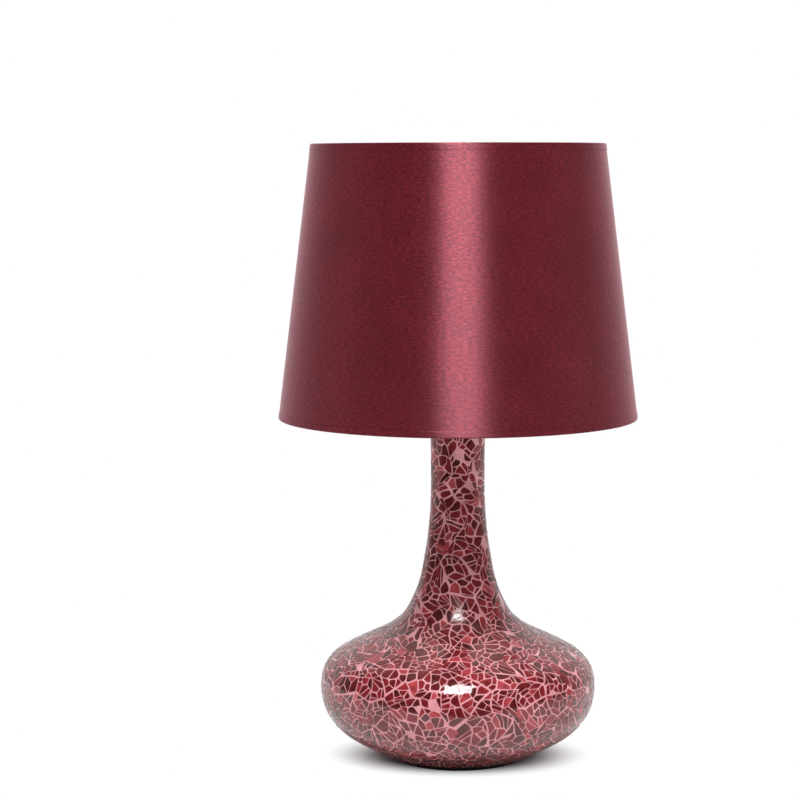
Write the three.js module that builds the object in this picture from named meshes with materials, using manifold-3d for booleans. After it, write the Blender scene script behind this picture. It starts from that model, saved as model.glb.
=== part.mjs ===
// A table lamp with a glass vessel covered in mosaic, a screw lamp holder and a tapered fabric shade.
// Millimetres, +Z up. The origin is the centre of the foot, on the surface that the lamp stands on.
// The front of the lamp faces -Y, and its flex comes in low at the back, on the +Y side.

import * as THREE from "three";
import { mergeVertices } from "three/addons/utils/BufferGeometryUtils.js";
import Module from "manifold-3d";

const wasm = await Module();
wasm.setup();

// ---------------------------------------------------------------------------------------------
// Driving sizes
// ---------------------------------------------------------------------------------------------

// Foot: felt, steel plate with a dish for the nut, and a gasket under the glass.
const feltThickness = 1.8;
const plateThickness = 1.2;
const baseGasketThickness = 0.8;
const plateEdgeInset = 7.3;
const feltEdgeInset = 0.4;
const dishDepth = 6.4;
const dishSlope = 3.2;
const dishClearance = 2.4;
const gasketEdgeInset = 0.6;

// Vessel: heights are above the foot of the glass.
const vesselHeight = 210.2;
const lowerEdgeRadius = 46.8;
const lowerEdgeLift = 0.2;
const bellyRadius = 80.6;
const bellyHeight = 38.75;
const shoulderRadius = 40.3;
const shoulderHeight = 73.9;
const waistRadius = 15.6;
const waistBelowTop = 40.6;
const neckTopRadius = 17.8;
const glassWall = 3;
const glassFootWidth = 12;
const glassFootInset = 4.8;
const glassFloor = 3.5;
const coatThickness = 2;
const coatTopSetback = 1.2;

// The outline's directions, and how far each curve holds them.
const lowerEdgeAngle = THREE.MathUtils.degToRad(46.5);
const shoulderAngle = THREE.MathUtils.degToRad(150.5);
const lowerEdgeHold = 8.5;
const bellyHoldBelow = 28.25;
const bellyHoldAbove = 20.4;
const shoulderHoldBelow = 30.4;
const shoulderHoldAbove = 8.5;
const waistHoldShare = 0.835;

// How many straight stretches each curve of the outline is divided into.
const bellySteps = 5;
const neckSteps = 4;
const flareSteps = 2;

// Flex inlet: a rubber grommet in the low back wall of the vessel.
const inletHeight = 28;
const inletBoreRadius = 4.2;
const grommetWall = 1.3;
const grommetFlangeRadius = 8.4;
const grommetFlangeThickness = 1.8;
const grommetPlay = 2.2;
const grommetRidgeHeight = 0.8;
const grommetRidgeLength = 2;

// Threaded pipe and its nuts and washers.
const pipeRadius = 5;
const pipeBoreRadius = 3.5;
const pipeBottomGap = 0.5;
const pipeIntoHub = 6;
const pipeSlotWidth = 5;
const pipeSlotHeight = 12;
const nutAcrossFlats = 14;
const baseNutHeight = 4;
const topNutHeight = 4;
const baseWasherRadius = 10;
const baseWasherThickness = 1;

// Neck: rubber washer and pressed metal cap over the rim of the mosaic.
const neckGasketThickness = 1.2;
const neckGasketInset = 4;
const neckCapThickness = 1.6;
const neckCapLip = 1.2;
const neckCapLipDrop = 5;

// Lamp holder, built outward from the radius of the bulb's cap.
const bulbCapRadius = 13;
const bulbCapClearance = 0.3;
const screwShellWall = 0.5;
const sleeveClearance = 0.4;
const sleeveWall = 1.2;
const holderSpace = 2;
const skirtWall = 2.2;
const skirtHeight = 18;
const bodyStep = 0.8;
const seatStep = 2.1;
const seatThickness = 1.5;
const shellFloorWidthInset = 2;
const screwShellSetback = 2;
const sleeveSetback = 1;
const hubRadius = 8.5;
const hubHeight = 7;
const cupHeight = 10;
const cupFloor = 2.2;
const holderBodyHeight = 13.6;
const coreAboveCup = 10.4;
const coreIntoCup = 2;
const holderScrewRadius = 1.5;
const holderScrewHeadRadius = 2.7;
const holderScrewHeadHeight = 1.6;
const holderScrewReach = 12;
const holderScrewIntoCore = 4;
const terminalScrewRadius = 1.6;
const terminalHeadRadius = 3;
const terminalHeadHeight = 1.6;
const terminalReach = 9.5;
const terminalDepth = 4.5;
const setScrewRadius = 1.4;
const screwHeadTopShare = 0.8;

// Spring contact in the floor of the holder.
const contactRadius = 3.2;
const contactThickness = 0.7;
const contactLift = 0.4;
const contactStemRadius = 1.6;
const contactStemLength = 2.7;
const contactTravel = 1;

// Turn switch on the side of the holder.
const switchBelowSeat = 9;
const shaftRadius = 1.6;
const shaftInnerReach = 5;
const camRadius = 3.6;
const camNarrowShare = 0.7;
const camThickness = 3.4;
const camInnerReach = 7;
const knobGap = 2.2;
const knobLength = 13;
const knobHalfWidth = 5.4;
const knobHalfThickness = 3.4;
const knobSocketDepth = 8;
const knobBevel = 0.9;

// Bulb: a slim candle bulb on a medium screw cap.
const bulbLength = 98;
const bulbRadius = 17.5;
const bulbGlassWall = 0.9;
const bulbTipHeight = 1;
const bulbTipRadius = 3.6;
const bulbTipFlatRadius = 2;
const bulbTipEdge = 0.4;
const bulbInsulatorHeight = 3;
const bulbInsulatorLowerRadius = 4.6;
const bulbInsulatorUpperRadius = 9.6;
const bulbCapHeight = 21.5;
const bulbCapEndRadius = 9.2;
const bulbCapEndHeight = 2;
const bulbCapRimHeight = 4;
const bulbCapPlainHeight = 8;
const bulbCapEndWall = 1;
const bulbCapWall = 0.4;
const bulbNeckClearance = 1;
const bulbContactGap = 0.3;
const bulbThreadDepth = 0.8;
const bulbThreadCount = 4;
const bulbNeckDepth = 3;
const bulbWidestHeight = 34;
const bulbNeckHold = 10;
const bulbWidestHoldBelow = 18;
const bulbWidestHoldAbove = 24;
const bulbTipHold = 8;
const bulbTipFall = 1;
const bulbLowerSteps = 4;
const bulbUpperSteps = 6;

// Glass stem, support wires and arched filament inside the bulb.
const bulbStemHeight = 26;
const stemWaistRadius = 3.4;
const stemWaistHeight = 9;
const stemHeadRadius = 2.4;
const stemHeadHeight = 4;
const stemEndRadius = 1.2;
const supportHeight = 8;
const supportDepth = 6;
const supportLowerReach = 3.2;
const supportUpperReach = 4;
const supportWireRadius = 0.35;
const filamentSpan = 12;
const filamentRise = 16;
const filamentGap = 0.5;
const filamentRadius = 0.4;
const filamentShoulderReach = 0.7;
const filamentShoulderRise = 0.75;

// Shade: a ring at the bottom carries three wire arms, which carry the fitter ring.
const shadeBottomRadius = 104.8;
const shadeTopRadius = 85.4;
const shadeHeight = 158.9;
const fitterAboveShadeBottom = 51;
const fabricThickness = 0.7;
const linerThickness = 0.6;
const linerEndInset = 5;
const shadeWireRadius = 1.5;
const armWireRadius = 1.5;
const fitterThickness = 1.6;
const fitterWidth = 6.8;
const armCount = 3;

// The course of a shade arm, as shares of its span outward and of its fall.
const armCourse = [
  [0.1, 0.03],
  [0.4, 0.38],
  [0.8, 0.88],
  [0.92, 0.98],
];

// Ring that screws down on the skirt of the holder, over the fitter.
const threadDepth = 0.7;
const ringFlangeWidth = 6.6;
const ringFlangeThickness = 1.8;
const ringCollarWall = 2.8;
const ringHeight = 8.4;
const ringFlangeBevel = 0.8;
const ringRimBevel = 0.6;

// Fits.
const bedding = 0.3;
const threadFit = 0.15;
const runningFit = 0.3;

// How far the shape of a hole runs on past the surface that it opens.
const cutMargin = 1;

// How finely the round surfaces are divided: multiples of 4 put corners on both axes.
const vesselSides = 32;
const shadeSides = 36;
const holderSides = 24;
const smallSides = 16;
const screwSides = 12;
const wireSides = 6;
const armSteps = 10;
const supportSteps = 6;
const filamentSteps = 14;

// ---------------------------------------------------------------------------------------------
// Heights and radii worked out from the driving sizes
// ---------------------------------------------------------------------------------------------

const plateBottomZ = feltThickness;
const plateTopZ = plateBottomZ + plateThickness;
const glassFootZ = plateTopZ + baseGasketThickness;
const glassTopZ = glassFootZ + vesselHeight;
const neckCapBottomZ = glassTopZ + neckGasketThickness;
const neckCapTopZ = neckCapBottomZ + neckCapThickness;
const hubBottomZ = neckCapTopZ + topNutHeight + bedding;
const cupBottomZ = hubBottomZ + hubHeight;
const cupTopZ = cupBottomZ + cupHeight;
const seatZ = cupTopZ + holderBodyHeight + bedding;
const skirtTopZ = seatZ + skirtHeight;
const coreBottomZ = cupTopZ - coreIntoCup;
const coreTopZ = cupTopZ + coreAboveCup;
const contactTopZ = coreTopZ + contactLift + contactThickness;
const bulbBottomZ = contactTopZ + bulbContactGap;
const bulbCapBottomZ = bulbBottomZ + bulbTipHeight + bulbInsulatorHeight;
const bulbCapTopZ = bulbCapBottomZ + bulbCapHeight;
const bulbTopZ = bulbBottomZ + bulbLength;
const switchZ = seatZ - switchBelowSeat;
const shadeBottomZ = seatZ - fitterAboveShadeBottom;
const shadeTopZ = shadeBottomZ + shadeHeight;
const dishFloorZ = plateBottomZ + dishDepth;

const glassFootRadius = lowerEdgeRadius - glassFootInset;
const glassOpeningRadius = glassFootRadius - glassFootWidth;
const plateRadius = lowerEdgeRadius - plateEdgeInset;
const dishRadius = glassOpeningRadius - dishClearance;
const pipeHoleRadius = pipeRadius + runningFit;
const nutBoreRadius = pipeRadius + threadFit;
const screwShellInnerRadius = bulbCapRadius + bulbCapClearance;
const screwShellOuterRadius = screwShellInnerRadius + screwShellWall;
const sleeveInnerRadius = screwShellOuterRadius + sleeveClearance;
const sleeveOuterRadius = sleeveInnerRadius + sleeveWall;
const holderInnerRadius = sleeveOuterRadius + holderSpace;
const coreRadius = holderInnerRadius - bedding;
const skirtRadius = holderInnerRadius + skirtWall;
const bodyRadius = skirtRadius + bodyStep;
const seatRadius = bodyRadius + seatStep;
const ringBoreRadius = skirtRadius + threadDepth;
const bulbCapBore = bulbCapRadius - bulbThreadDepth - bulbCapWall;
const bulbNeckRadius = bulbCapBore - bulbNeckClearance;
const wireInset = fabricThickness + bedding + shadeWireRadius;
const hemLipInset = fabricThickness + 2 * bedding + 2 * shadeWireRadius;
const hemTurn = wireInset + shadeWireRadius;

// ---------------------------------------------------------------------------------------------
// Materials
// ---------------------------------------------------------------------------------------------

function finish(color, roughness, metalness) {
  return new THREE.MeshStandardMaterial({ color, roughness, metalness });
}

const felt = finish(0x141212, 0.95, 0);
const blackSteel = finish(0x1b1b1c, 0.45, 0.6);
const zincSteel = finish(0xa9adb0, 0.35, 0.9);
const rubber = finish(0x1c1b1b, 0.8, 0);
const vesselGlass = finish(0x9a5a5e, 0.12, 0);
const mosaic = finish(0x64262c, 0.25, 0);
const phenolic = finish(0x191716, 0.4, 0);
const brass = finish(0xb08d4a, 0.3, 0.95);
const fibre = finish(0x8d7a5e, 0.8, 0);
const aluminium = finish(0xbfc1c2, 0.35, 0.9);
const bulbGlass = finish(0xe9ecec, 0.05, 0);
const blackGlass = finish(0x101010, 0.2, 0);
const tungsten = finish(0x6d6a66, 0.4, 0.9);
const whiteWire = finish(0xdedbd4, 0.4, 0.2);
const burgundySatin = finish(0x5d1a20, 0.5, 0);
const styrene = finish(0xf1ece3, 0.55, 0);

// ---------------------------------------------------------------------------------------------
// Shapes that repeat
// ---------------------------------------------------------------------------------------------

const lamp = new THREE.Group();

function add(name, geometry, material, parent = lamp) {
  const mesh = new THREE.Mesh(geometry, material);
  mesh.name = name;
  parent.add(mesh);
  return mesh;
}

// A solid turned about Z from corners of [radius, height], listed outward along the bottom,
// up the outside and back along the top. A profile that doesn't start on the axis is closed.
function turned(profile, sides = smallSides) {
  const corners = profile.map(([radius, height]) => new THREE.Vector2(radius, height));
  if (profile[0][0] > 0) corners.push(corners[0].clone());
  return new THREE.LatheGeometry(corners, sides).rotateX(Math.PI / 2);
}

function ring(innerRadius, outerRadius, bottomZ, topZ, sides = smallSides) {
  const profile = [
    [innerRadius, bottomZ],
    [outerRadius, bottomZ],
    [outerRadius, topZ],
    [innerRadius, topZ],
  ];
  return turned(profile, sides);
}

// A cylinder along +Z, from one height to another.
function rod(radius, bottomZ, topZ, sides = smallSides) {
  const length = topZ - bottomZ;
  return new THREE.CylinderGeometry(radius, radius, length, sides)
    .rotateX(Math.PI / 2)
    .translate(0, 0, bottomZ + length / 2);
}

function hexNut(bottomZ, height) {
  const cornerRadius = nutAcrossFlats / 2 / Math.cos(Math.PI / 6);
  const outline = new THREE.Shape();
  for (let corner = 0; corner < 6; corner += 1) {
    const angle = (corner * Math.PI) / 3;
    const x = cornerRadius * Math.cos(angle);
    const y = cornerRadius * Math.sin(angle);
    if (corner === 0) outline.moveTo(x, y);
    else outline.lineTo(x, y);
  }
  outline.closePath();
  outline.holes.push(new THREE.Path().absarc(0, 0, nutBoreRadius, 0, 2 * Math.PI, true));
  const settings = { depth: height, bevelEnabled: false, curveSegments: smallSides / 2 };
  return new THREE.ExtrudeGeometry(outline, settings).translate(0, 0, bottomZ);
}

// A round wire along a curve, with flat ends.
function wire(path, radius, steps) {
  const section = new THREE.Shape().absarc(0, 0, radius, 0, 2 * Math.PI);
  const settings = { steps, extrudePath: path, bevelEnabled: false, curveSegments: wireSides / 2 };
  return new THREE.ExtrudeGeometry(section, settings);
}

// A geometry as a solid that can be cut, with shared corners merged and slivers dropped.
function solid(geometry) {
  const bare = geometry.clone();
  bare.deleteAttribute("normal");
  bare.deleteAttribute("uv");
  const merged = mergeVertices(bare, 1e-4);
  const corners = merged.index.array;
  const kept = [];
  for (let i = 0; i < corners.length; i += 3) {
    const [a, b, c] = [corners[i], corners[i + 1], corners[i + 2]];
    if (a !== b && b !== c && c !== a) kept.push(a, b, c);
  }
  return new wasm.Manifold(
    new wasm.Mesh({
      numProp: 3,
      vertProperties: Float32Array.from(merged.attributes.position.array),
      triVerts: Uint32Array.from(kept),
    }),
  );
}

// A geometry with each of a list of shapes cut out of it.
function cut(geometry, shapes) {
  let body = solid(geometry);
  for (const shape of shapes) body = body.subtract(solid(shape));
  const mesh = body.getMesh();
  const result = new THREE.BufferGeometry();
  result.setAttribute("position", new THREE.BufferAttribute(Float32Array.from(mesh.vertProperties), 3));
  result.setIndex(Array.from(mesh.triVerts));
  result.computeVertexNormals();
  return result;
}

// ---------------------------------------------------------------------------------------------
// Vessel
// ---------------------------------------------------------------------------------------------

// The outside of the mosaic, from the lower edge to the top of the neck, as [radius, height].
// Three cubic curves make the belly, the shoulder and the neck, and a parabola flares to the top.
function vesselOutline() {
  const lowerEdge = new THREE.Vector2(lowerEdgeRadius, glassFootZ + lowerEdgeLift);
  const belly = new THREE.Vector2(bellyRadius, glassFootZ + bellyHeight);
  const shoulder = new THREE.Vector2(shoulderRadius, glassFootZ + shoulderHeight);
  const waist = new THREE.Vector2(waistRadius, glassTopZ - waistBelowTop);
  const top = new THREE.Vector2(neckTopRadius, glassTopZ);
  const waistHold = waistHoldShare * (waist.y - shoulder.y);
  const along = (from, angle, distance) =>
    new THREE.Vector2(from.x + distance * Math.cos(angle), from.y + distance * Math.sin(angle));
  const up = Math.PI / 2;
  const curves = [
    new THREE.CubicBezierCurve(
      lowerEdge,
      along(lowerEdge, lowerEdgeAngle, lowerEdgeHold),
      along(belly, up, -bellyHoldBelow),
      belly,
    ).getPoints(bellySteps),
    new THREE.CubicBezierCurve(
      belly,
      along(belly, up, bellyHoldAbove),
      along(shoulder, shoulderAngle, -shoulderHoldBelow),
      shoulder,
    ).getPoints(bellySteps),
    new THREE.CubicBezierCurve(
      shoulder,
      along(shoulder, shoulderAngle, shoulderHoldAbove),
      along(waist, up, -waistHold),
      waist,
    ).getPoints(neckSteps),
    new THREE.QuadraticBezierCurve(waist, along(waist, up, waistBelowTop / 2), top)
      .getPoints(flareSteps),
  ];
  const corners = [lowerEdge, ...curves.flatMap((points) => points.slice(1))];
  return corners.map((corner) => [corner.x, corner.y]);
}

// The unit direction out of the wall at one corner of an outline, square to its neighbours' chord.
function outwardAt(outline, index) {
  const before = outline[Math.max(index - 1, 0)];
  const after = outline[Math.min(index + 1, outline.length - 1)];
  const run = Math.hypot(after[0] - before[0], after[1] - before[1]);
  return [(after[1] - before[1]) / run, -(after[0] - before[0]) / run];
}

// An outline moved into the wall by a distance, with its last corner at a given height.
function inset(outline, distance, topZ) {
  const moved = outline.map(([radius, height], index) => {
    const [outR, outZ] = outwardAt(outline, index);
    return [radius - distance * outR, height - distance * outZ];
  });
  moved.at(-1)[1] = topZ;
  return moved;
}

// Where the flex inlet is: the point on the outside of the mosaic and the way out of the wall.
function inletPlace(outline) {
  const z = glassFootZ + inletHeight;
  const index = outline.findIndex((corner) => corner[1] > z);
  const [below, above] = [outline[index - 1], outline[index]];
  const share = (z - below[1]) / (above[1] - below[1]);
  const radius = below[0] + share * (above[0] - below[0]);
  const run = Math.hypot(above[0] - below[0], above[1] - below[1]);
  const out = new THREE.Vector3(0, (above[1] - below[1]) / run, -(above[0] - below[0]) / run);
  return { point: new THREE.Vector3(0, radius, z), out };
}

function placeAt(geometry, place) {
  const turn = new THREE.Quaternion().setFromUnitVectors(new THREE.Vector3(0, 0, 1), place.out);
  return geometry.applyQuaternion(turn).translate(place.point.x, place.point.y, place.point.z);
}

function makeVessel() {
  const outline = vesselOutline();
  const place = inletPlace(outline);
  const coatTopZ = glassTopZ - coatTopSetback;
  const glassInset = coatThickness + bedding;
  const wallDepth = glassInset + glassWall;
  const holeRadius = inletBoreRadius + grommetWall + bedding;
  const hole = () => placeAt(rod(holeRadius, -2 * wallDepth, wallDepth, smallSides), place);

  const coatProfile = [
    ...inset(outline, 0, coatTopZ),
    ...inset(outline, coatThickness, coatTopZ).reverse(),
  ];
  add("mosaic_coat", cut(turned(coatProfile, vesselSides), [hole()]), mosaic);

  const glassInner = inset(outline, wallDepth, glassTopZ).reverse();
  const glassProfile = [
    [glassOpeningRadius, glassFootZ],
    [glassFootRadius, glassFootZ],
    ...inset(outline, glassInset, glassTopZ),
    ...glassInner,
    [glassOpeningRadius, glassFootZ + glassFloor],
  ];
  add("glass_vessel", cut(turned(glassProfile, vesselSides), [hole()]), vesselGlass);

  const sleeveRadius = inletBoreRadius + grommetWall;
  const ridgeStart = -(wallDepth + grommetPlay);
  const grommetProfile = [
    [inletBoreRadius, ridgeStart - grommetRidgeLength],
    [sleeveRadius, ridgeStart - grommetRidgeLength],
    [sleeveRadius + grommetRidgeHeight, ridgeStart],
    [sleeveRadius, ridgeStart],
    [sleeveRadius, bedding],
    [grommetFlangeRadius, bedding],
    [grommetFlangeRadius - grommetWall / 2, bedding + grommetFlangeThickness],
    [inletBoreRadius + grommetWall / 2, bedding + grommetFlangeThickness],
    [inletBoreRadius, bedding + grommetFlangeThickness / 2],
  ];
  add("flex_grommet", placeAt(turned(grommetProfile, smallSides), place), rubber);
}

// ---------------------------------------------------------------------------------------------
// Foot, threaded pipe and neck
// ---------------------------------------------------------------------------------------------

function makeFoot() {
  const feltProfile = [
    [0, 0],
    [plateRadius - feltEdgeInset, 0],
    [plateRadius - feltEdgeInset, feltThickness],
    [0, feltThickness],
  ];
  add("felt_pad", turned(feltProfile, vesselSides), felt);

  const plateProfile = [
    [pipeHoleRadius, dishFloorZ],
    [dishRadius - dishSlope - plateThickness, dishFloorZ],
    [dishRadius - plateThickness, plateBottomZ],
    [plateRadius, plateBottomZ],
    [plateRadius, plateTopZ],
    [dishRadius, plateTopZ],
    [dishRadius - dishSlope, dishFloorZ + plateThickness],
    [pipeHoleRadius, dishFloorZ + plateThickness],
  ];
  add("base_plate", turned(plateProfile, vesselSides), blackSteel);

  const gasketInner = glassOpeningRadius + gasketEdgeInset;
  const gasketOuter = plateRadius - gasketEdgeInset;
  add("base_gasket", ring(gasketInner, gasketOuter, plateTopZ, glassFootZ, vesselSides), rubber);

  const washerBottomZ = dishFloorZ - baseWasherThickness;
  add("base_washer", ring(pipeHoleRadius, baseWasherRadius, washerBottomZ, dishFloorZ), zincSteel);
  add("base_nut", hexNut(washerBottomZ - baseNutHeight, baseNutHeight), zincSteel);
}

function makePipe() {
  const bottomZ = feltThickness + pipeBottomGap;
  const topZ = hubBottomZ + pipeIntoHub;
  const slot = new THREE.BoxGeometry(pipeSlotWidth, 2 * pipeRadius, pipeSlotHeight);
  slot.translate(0, pipeRadius, glassFootZ + inletHeight);
  add("threaded_pipe", cut(ring(pipeBoreRadius, pipeRadius, bottomZ, topZ), [slot]), zincSteel);
}

function makeNeck() {
  const gasketOuter = neckTopRadius - neckGasketInset;
  add("neck_gasket", ring(pipeHoleRadius, gasketOuter, glassTopZ, neckCapBottomZ), rubber);

  const lipInner = neckTopRadius + runningFit;
  const lipOuter = lipInner + neckCapLip;
  const capProfile = [
    [pipeHoleRadius, neckCapBottomZ],
    [lipInner, neckCapBottomZ],
    [lipInner, neckCapTopZ - neckCapLipDrop],
    [lipOuter, neckCapTopZ - neckCapLipDrop],
    [lipOuter, neckCapBottomZ],
    [lipOuter - neckCapThickness, neckCapTopZ],
    [pipeHoleRadius, neckCapTopZ],
  ];
  add("neck_cap", turned(capProfile, holderSides), blackSteel);
  add("neck_nut", hexNut(neckCapTopZ, topNutHeight), zincSteel);
}

// ---------------------------------------------------------------------------------------------
// Lamp holder
// ---------------------------------------------------------------------------------------------

// Copies of a geometry on opposite sides of the axis, at plus and minus an offset along X or Y.
function pair(geometry, offset, axis) {
  return [1, -1].map((side) => {
    const copy = geometry.clone();
    if (axis === "x") return copy.translate(side * offset, 0, 0);
    return copy.translate(0, side * offset, 0);
  });
}

// A headed screw on the axis, point up, with its head below a given height.
function screwUp(headRadius, headHeight, shankRadius, shankLength, headTopZ) {
  const profile = [
    [0, headTopZ - headHeight],
    [headRadius * screwHeadTopShare, headTopZ - headHeight],
    [headRadius, headTopZ - headHeight / 2],
    [headRadius, headTopZ],
    [shankRadius, headTopZ],
    [shankRadius, headTopZ + shankLength],
    [0, headTopZ + shankLength],
  ];
  return turned(profile, screwSides);
}

function makeHolder() {
  const screwHole = rod(holderScrewRadius + bedding, cupBottomZ - cutMargin,
    coreBottomZ + holderScrewIntoCore, screwSides);
  const terminalHole = rod(terminalScrewRadius + bedding, cupTopZ - 2 * coreIntoCup,
    coreBottomZ + terminalDepth, screwSides);
  const setScrewZ = hubBottomZ + hubHeight / 2;

  const cupProfile = [
    [nutBoreRadius, hubBottomZ],
    [hubRadius, hubBottomZ],
    [hubRadius, cupBottomZ],
    [bodyRadius - cupFloor, cupBottomZ],
    [bodyRadius, cupBottomZ + cupFloor],
    [bodyRadius, cupTopZ],
    [holderInnerRadius, cupTopZ],
    [holderInnerRadius, cupBottomZ + cupFloor],
    [nutBoreRadius, cupBottomZ + cupFloor],
  ];
  const setScrewHole = rod(setScrewRadius + bedding, 0, 2 * hubRadius, screwSides);
  setScrewHole.rotateX(Math.PI / 2).translate(0, 0, setScrewZ);
  const cupHoles = [...pair(screwHole, holderScrewReach, "y"), setScrewHole];
  add("holder_cup", cut(turned(cupProfile, holderSides), cupHoles), phenolic);

  const setScrew = rod(setScrewRadius, pipeRadius + bedding, hubRadius, screwSides);
  add("set_screw", setScrew.rotateX(Math.PI / 2).translate(0, 0, setScrewZ), zincSteel);

  const headTopZ = cupBottomZ;
  const shankLength = coreBottomZ + holderScrewIntoCore - bedding - headTopZ;
  const holderScrew = screwUp(holderScrewHeadRadius, holderScrewHeadHeight, holderScrewRadius,
    shankLength, headTopZ);
  pair(holderScrew, holderScrewReach, "y").forEach((geometry, index) => {
    add(`holder_screw_${index + 1}`, geometry, zincSteel);
  });

  const shellProfile = [
    [holderInnerRadius, cupTopZ + bedding],
    [bodyRadius, cupTopZ + bedding],
    [bodyRadius, seatZ - seatThickness],
    [seatRadius, seatZ - seatThickness],
    [seatRadius, seatZ],
    [skirtRadius, seatZ],
    [skirtRadius, skirtTopZ],
    [holderInnerRadius, skirtTopZ],
  ];
  const shaftHole = rod(shaftRadius + bedding, 0, 2 * bodyRadius, screwSides);
  shaftHole.rotateY(Math.PI / 2).translate(0, 0, switchZ);
  add("holder_shell", cut(turned(shellProfile, holderSides), [shaftHole.clone()]), phenolic);

  const recess = rod(contactRadius + bedding, coreTopZ - contactTravel - bedding,
    coreTopZ + cutMargin, smallSides);
  const stemHole = rod(contactStemRadius + bedding,
    contactTopZ - contactThickness - contactStemLength - contactTravel - bedding, coreTopZ, screwSides);
  const camSlotRadius = camRadius + 2 * bedding;
  const camSlotHeight = switchZ + camSlotRadius - coreBottomZ + cutMargin;
  const camSlot = new THREE.BoxGeometry(camThickness + 2 * bedding, 2 * camSlotRadius, camSlotHeight);
  camSlot.translate(camInnerReach + camThickness / 2, 0, switchZ + camSlotRadius - camSlotHeight / 2);
  const coreShaftHole = rod(shaftRadius + bedding, shaftInnerReach - bedding, 2 * bodyRadius,
    screwSides);
  coreShaftHole.rotateY(Math.PI / 2).translate(0, 0, switchZ);
  const coreHoles = [
    recess,
    stemHole,
    camSlot,
    coreShaftHole,
    ...pair(screwHole, holderScrewReach, "y"),
    terminalHole.clone().rotateZ(Math.PI / 4).translate(-terminalReach, -terminalReach / 2, 0),
    terminalHole.clone().rotateZ(Math.PI / 4).translate(-terminalReach, terminalReach / 2, 0),
  ];
  const core = rod(coreRadius, coreBottomZ, coreTopZ, holderSides);
  add("holder_core", cut(core, coreHoles), phenolic);

  const terminal = screwUp(terminalHeadRadius, terminalHeadHeight, terminalScrewRadius,
    terminalDepth - bedding, coreBottomZ);
  add("terminal_screw_live", terminal.clone().translate(-terminalReach, -terminalReach / 2, 0), brass);
  add("terminal_screw_neutral", terminal.translate(-terminalReach, terminalReach / 2, 0), zincSteel);

  const shellFloorZ = coreTopZ + screwShellWall;
  const shellTopZ = skirtTopZ - screwShellSetback;
  const screwShellProfile = [
    [contactRadius + shellFloorWidthInset, coreTopZ],
    [screwShellOuterRadius, coreTopZ],
    [screwShellOuterRadius, shellTopZ],
    [screwShellInnerRadius, shellTopZ],
    [screwShellInnerRadius, shellFloorZ],
    [contactRadius + shellFloorWidthInset, shellFloorZ],
  ];
  add("screw_shell", turned(screwShellProfile), brass);
  const sleeveTopZ = skirtTopZ - sleeveSetback;
  add("insulating_sleeve", ring(sleeveInnerRadius, sleeveOuterRadius, coreTopZ, sleeveTopZ), fibre);

  const contactBottomZ = contactTopZ - contactThickness;
  const contactProfile = [
    [0, contactBottomZ - contactStemLength],
    [contactStemRadius, contactBottomZ - contactStemLength],
    [contactStemRadius, contactBottomZ],
    [contactRadius, contactBottomZ],
    [contactRadius, contactBottomZ + contactThickness / 2],
    [contactRadius / 2, contactTopZ],
    [0, contactTopZ],
  ];
  add("centre_contact", turned(contactProfile, smallSides), brass);
}

// ---------------------------------------------------------------------------------------------
// Turn switch: shaft, cam and knob on one axis, along +X from the centre of the holder
// ---------------------------------------------------------------------------------------------

function makeSwitch() {
  const switchAxis = new THREE.Group();
  switchAxis.position.set(0, 0, switchZ);
  switchAxis.rotation.y = Math.PI / 2;
  lamp.add(switchAxis);

  const knobStart = bodyRadius + knobGap;
  const shaftEnd = knobStart + knobSocketDepth - bedding;
  add("switch_shaft", rod(shaftRadius, shaftInnerReach, shaftEnd, screwSides), zincSteel, switchAxis);

  const camLobe = new THREE.Shape();
  camLobe.absellipse(0, 0, camRadius, camRadius * camNarrowShare, 0, 2 * Math.PI);
  camLobe.holes.push(new THREE.Path().absarc(0, 0, shaftRadius + bedding, 0, 2 * Math.PI, true));
  const camSettings = { depth: camThickness - bedding, bevelEnabled: false, curveSegments: 8 };
  const cam = new THREE.ExtrudeGeometry(camLobe, camSettings);
  add("switch_cam", cam.translate(0, 0, camInnerReach + bedding / 2), fibre, switchAxis);

  const grip = new THREE.Shape();
  grip.absellipse(0, 0, knobHalfWidth - knobBevel, knobHalfThickness - knobBevel, 0, 2 * Math.PI);
  const gripSettings = {
    depth: knobLength - 2 * knobBevel,
    bevelThickness: knobBevel,
    bevelSize: knobBevel,
    bevelSegments: 1,
    curveSegments: 10,
  };
  const knob = new THREE.ExtrudeGeometry(grip, gripSettings).translate(0, 0, knobStart + knobBevel);
  const socketEnd = knobStart + knobSocketDepth;
  const socket = rod(shaftRadius + bedding, knobStart - cutMargin, socketEnd, screwSides);
  add("switch_knob", cut(knob, [socket]), phenolic, switchAxis);
}

// ---------------------------------------------------------------------------------------------
// Bulb
// ---------------------------------------------------------------------------------------------

// Half of the glass, from the neck in the cap up to the tip on the axis, moved in by a distance.
function bulbCurve(moveIn) {
  const neckZ = bulbCapTopZ - bulbNeckDepth;
  const widest = new THREE.Vector2(bulbRadius - moveIn, neckZ + bulbWidestHeight);
  const tip = new THREE.Vector2(0, bulbTopZ - moveIn);
  const neck = new THREE.Vector2(bulbNeckRadius - moveIn, neckZ);
  const lower = new THREE.CubicBezierCurve(
    neck,
    new THREE.Vector2(neck.x, neck.y + bulbNeckHold),
    new THREE.Vector2(widest.x, widest.y - bulbWidestHoldBelow),
    widest,
  );
  const upper = new THREE.CubicBezierCurve(
    widest,
    new THREE.Vector2(widest.x, widest.y + bulbWidestHoldAbove),
    new THREE.Vector2(bulbTipHold, tip.y - bulbTipFall),
    tip,
  );
  const corners = [...lower.getPoints(bulbLowerSteps), ...upper.getPoints(bulbUpperSteps).slice(1)];
  return corners.map(({ x, y }) => [x, y]);
}

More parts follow.
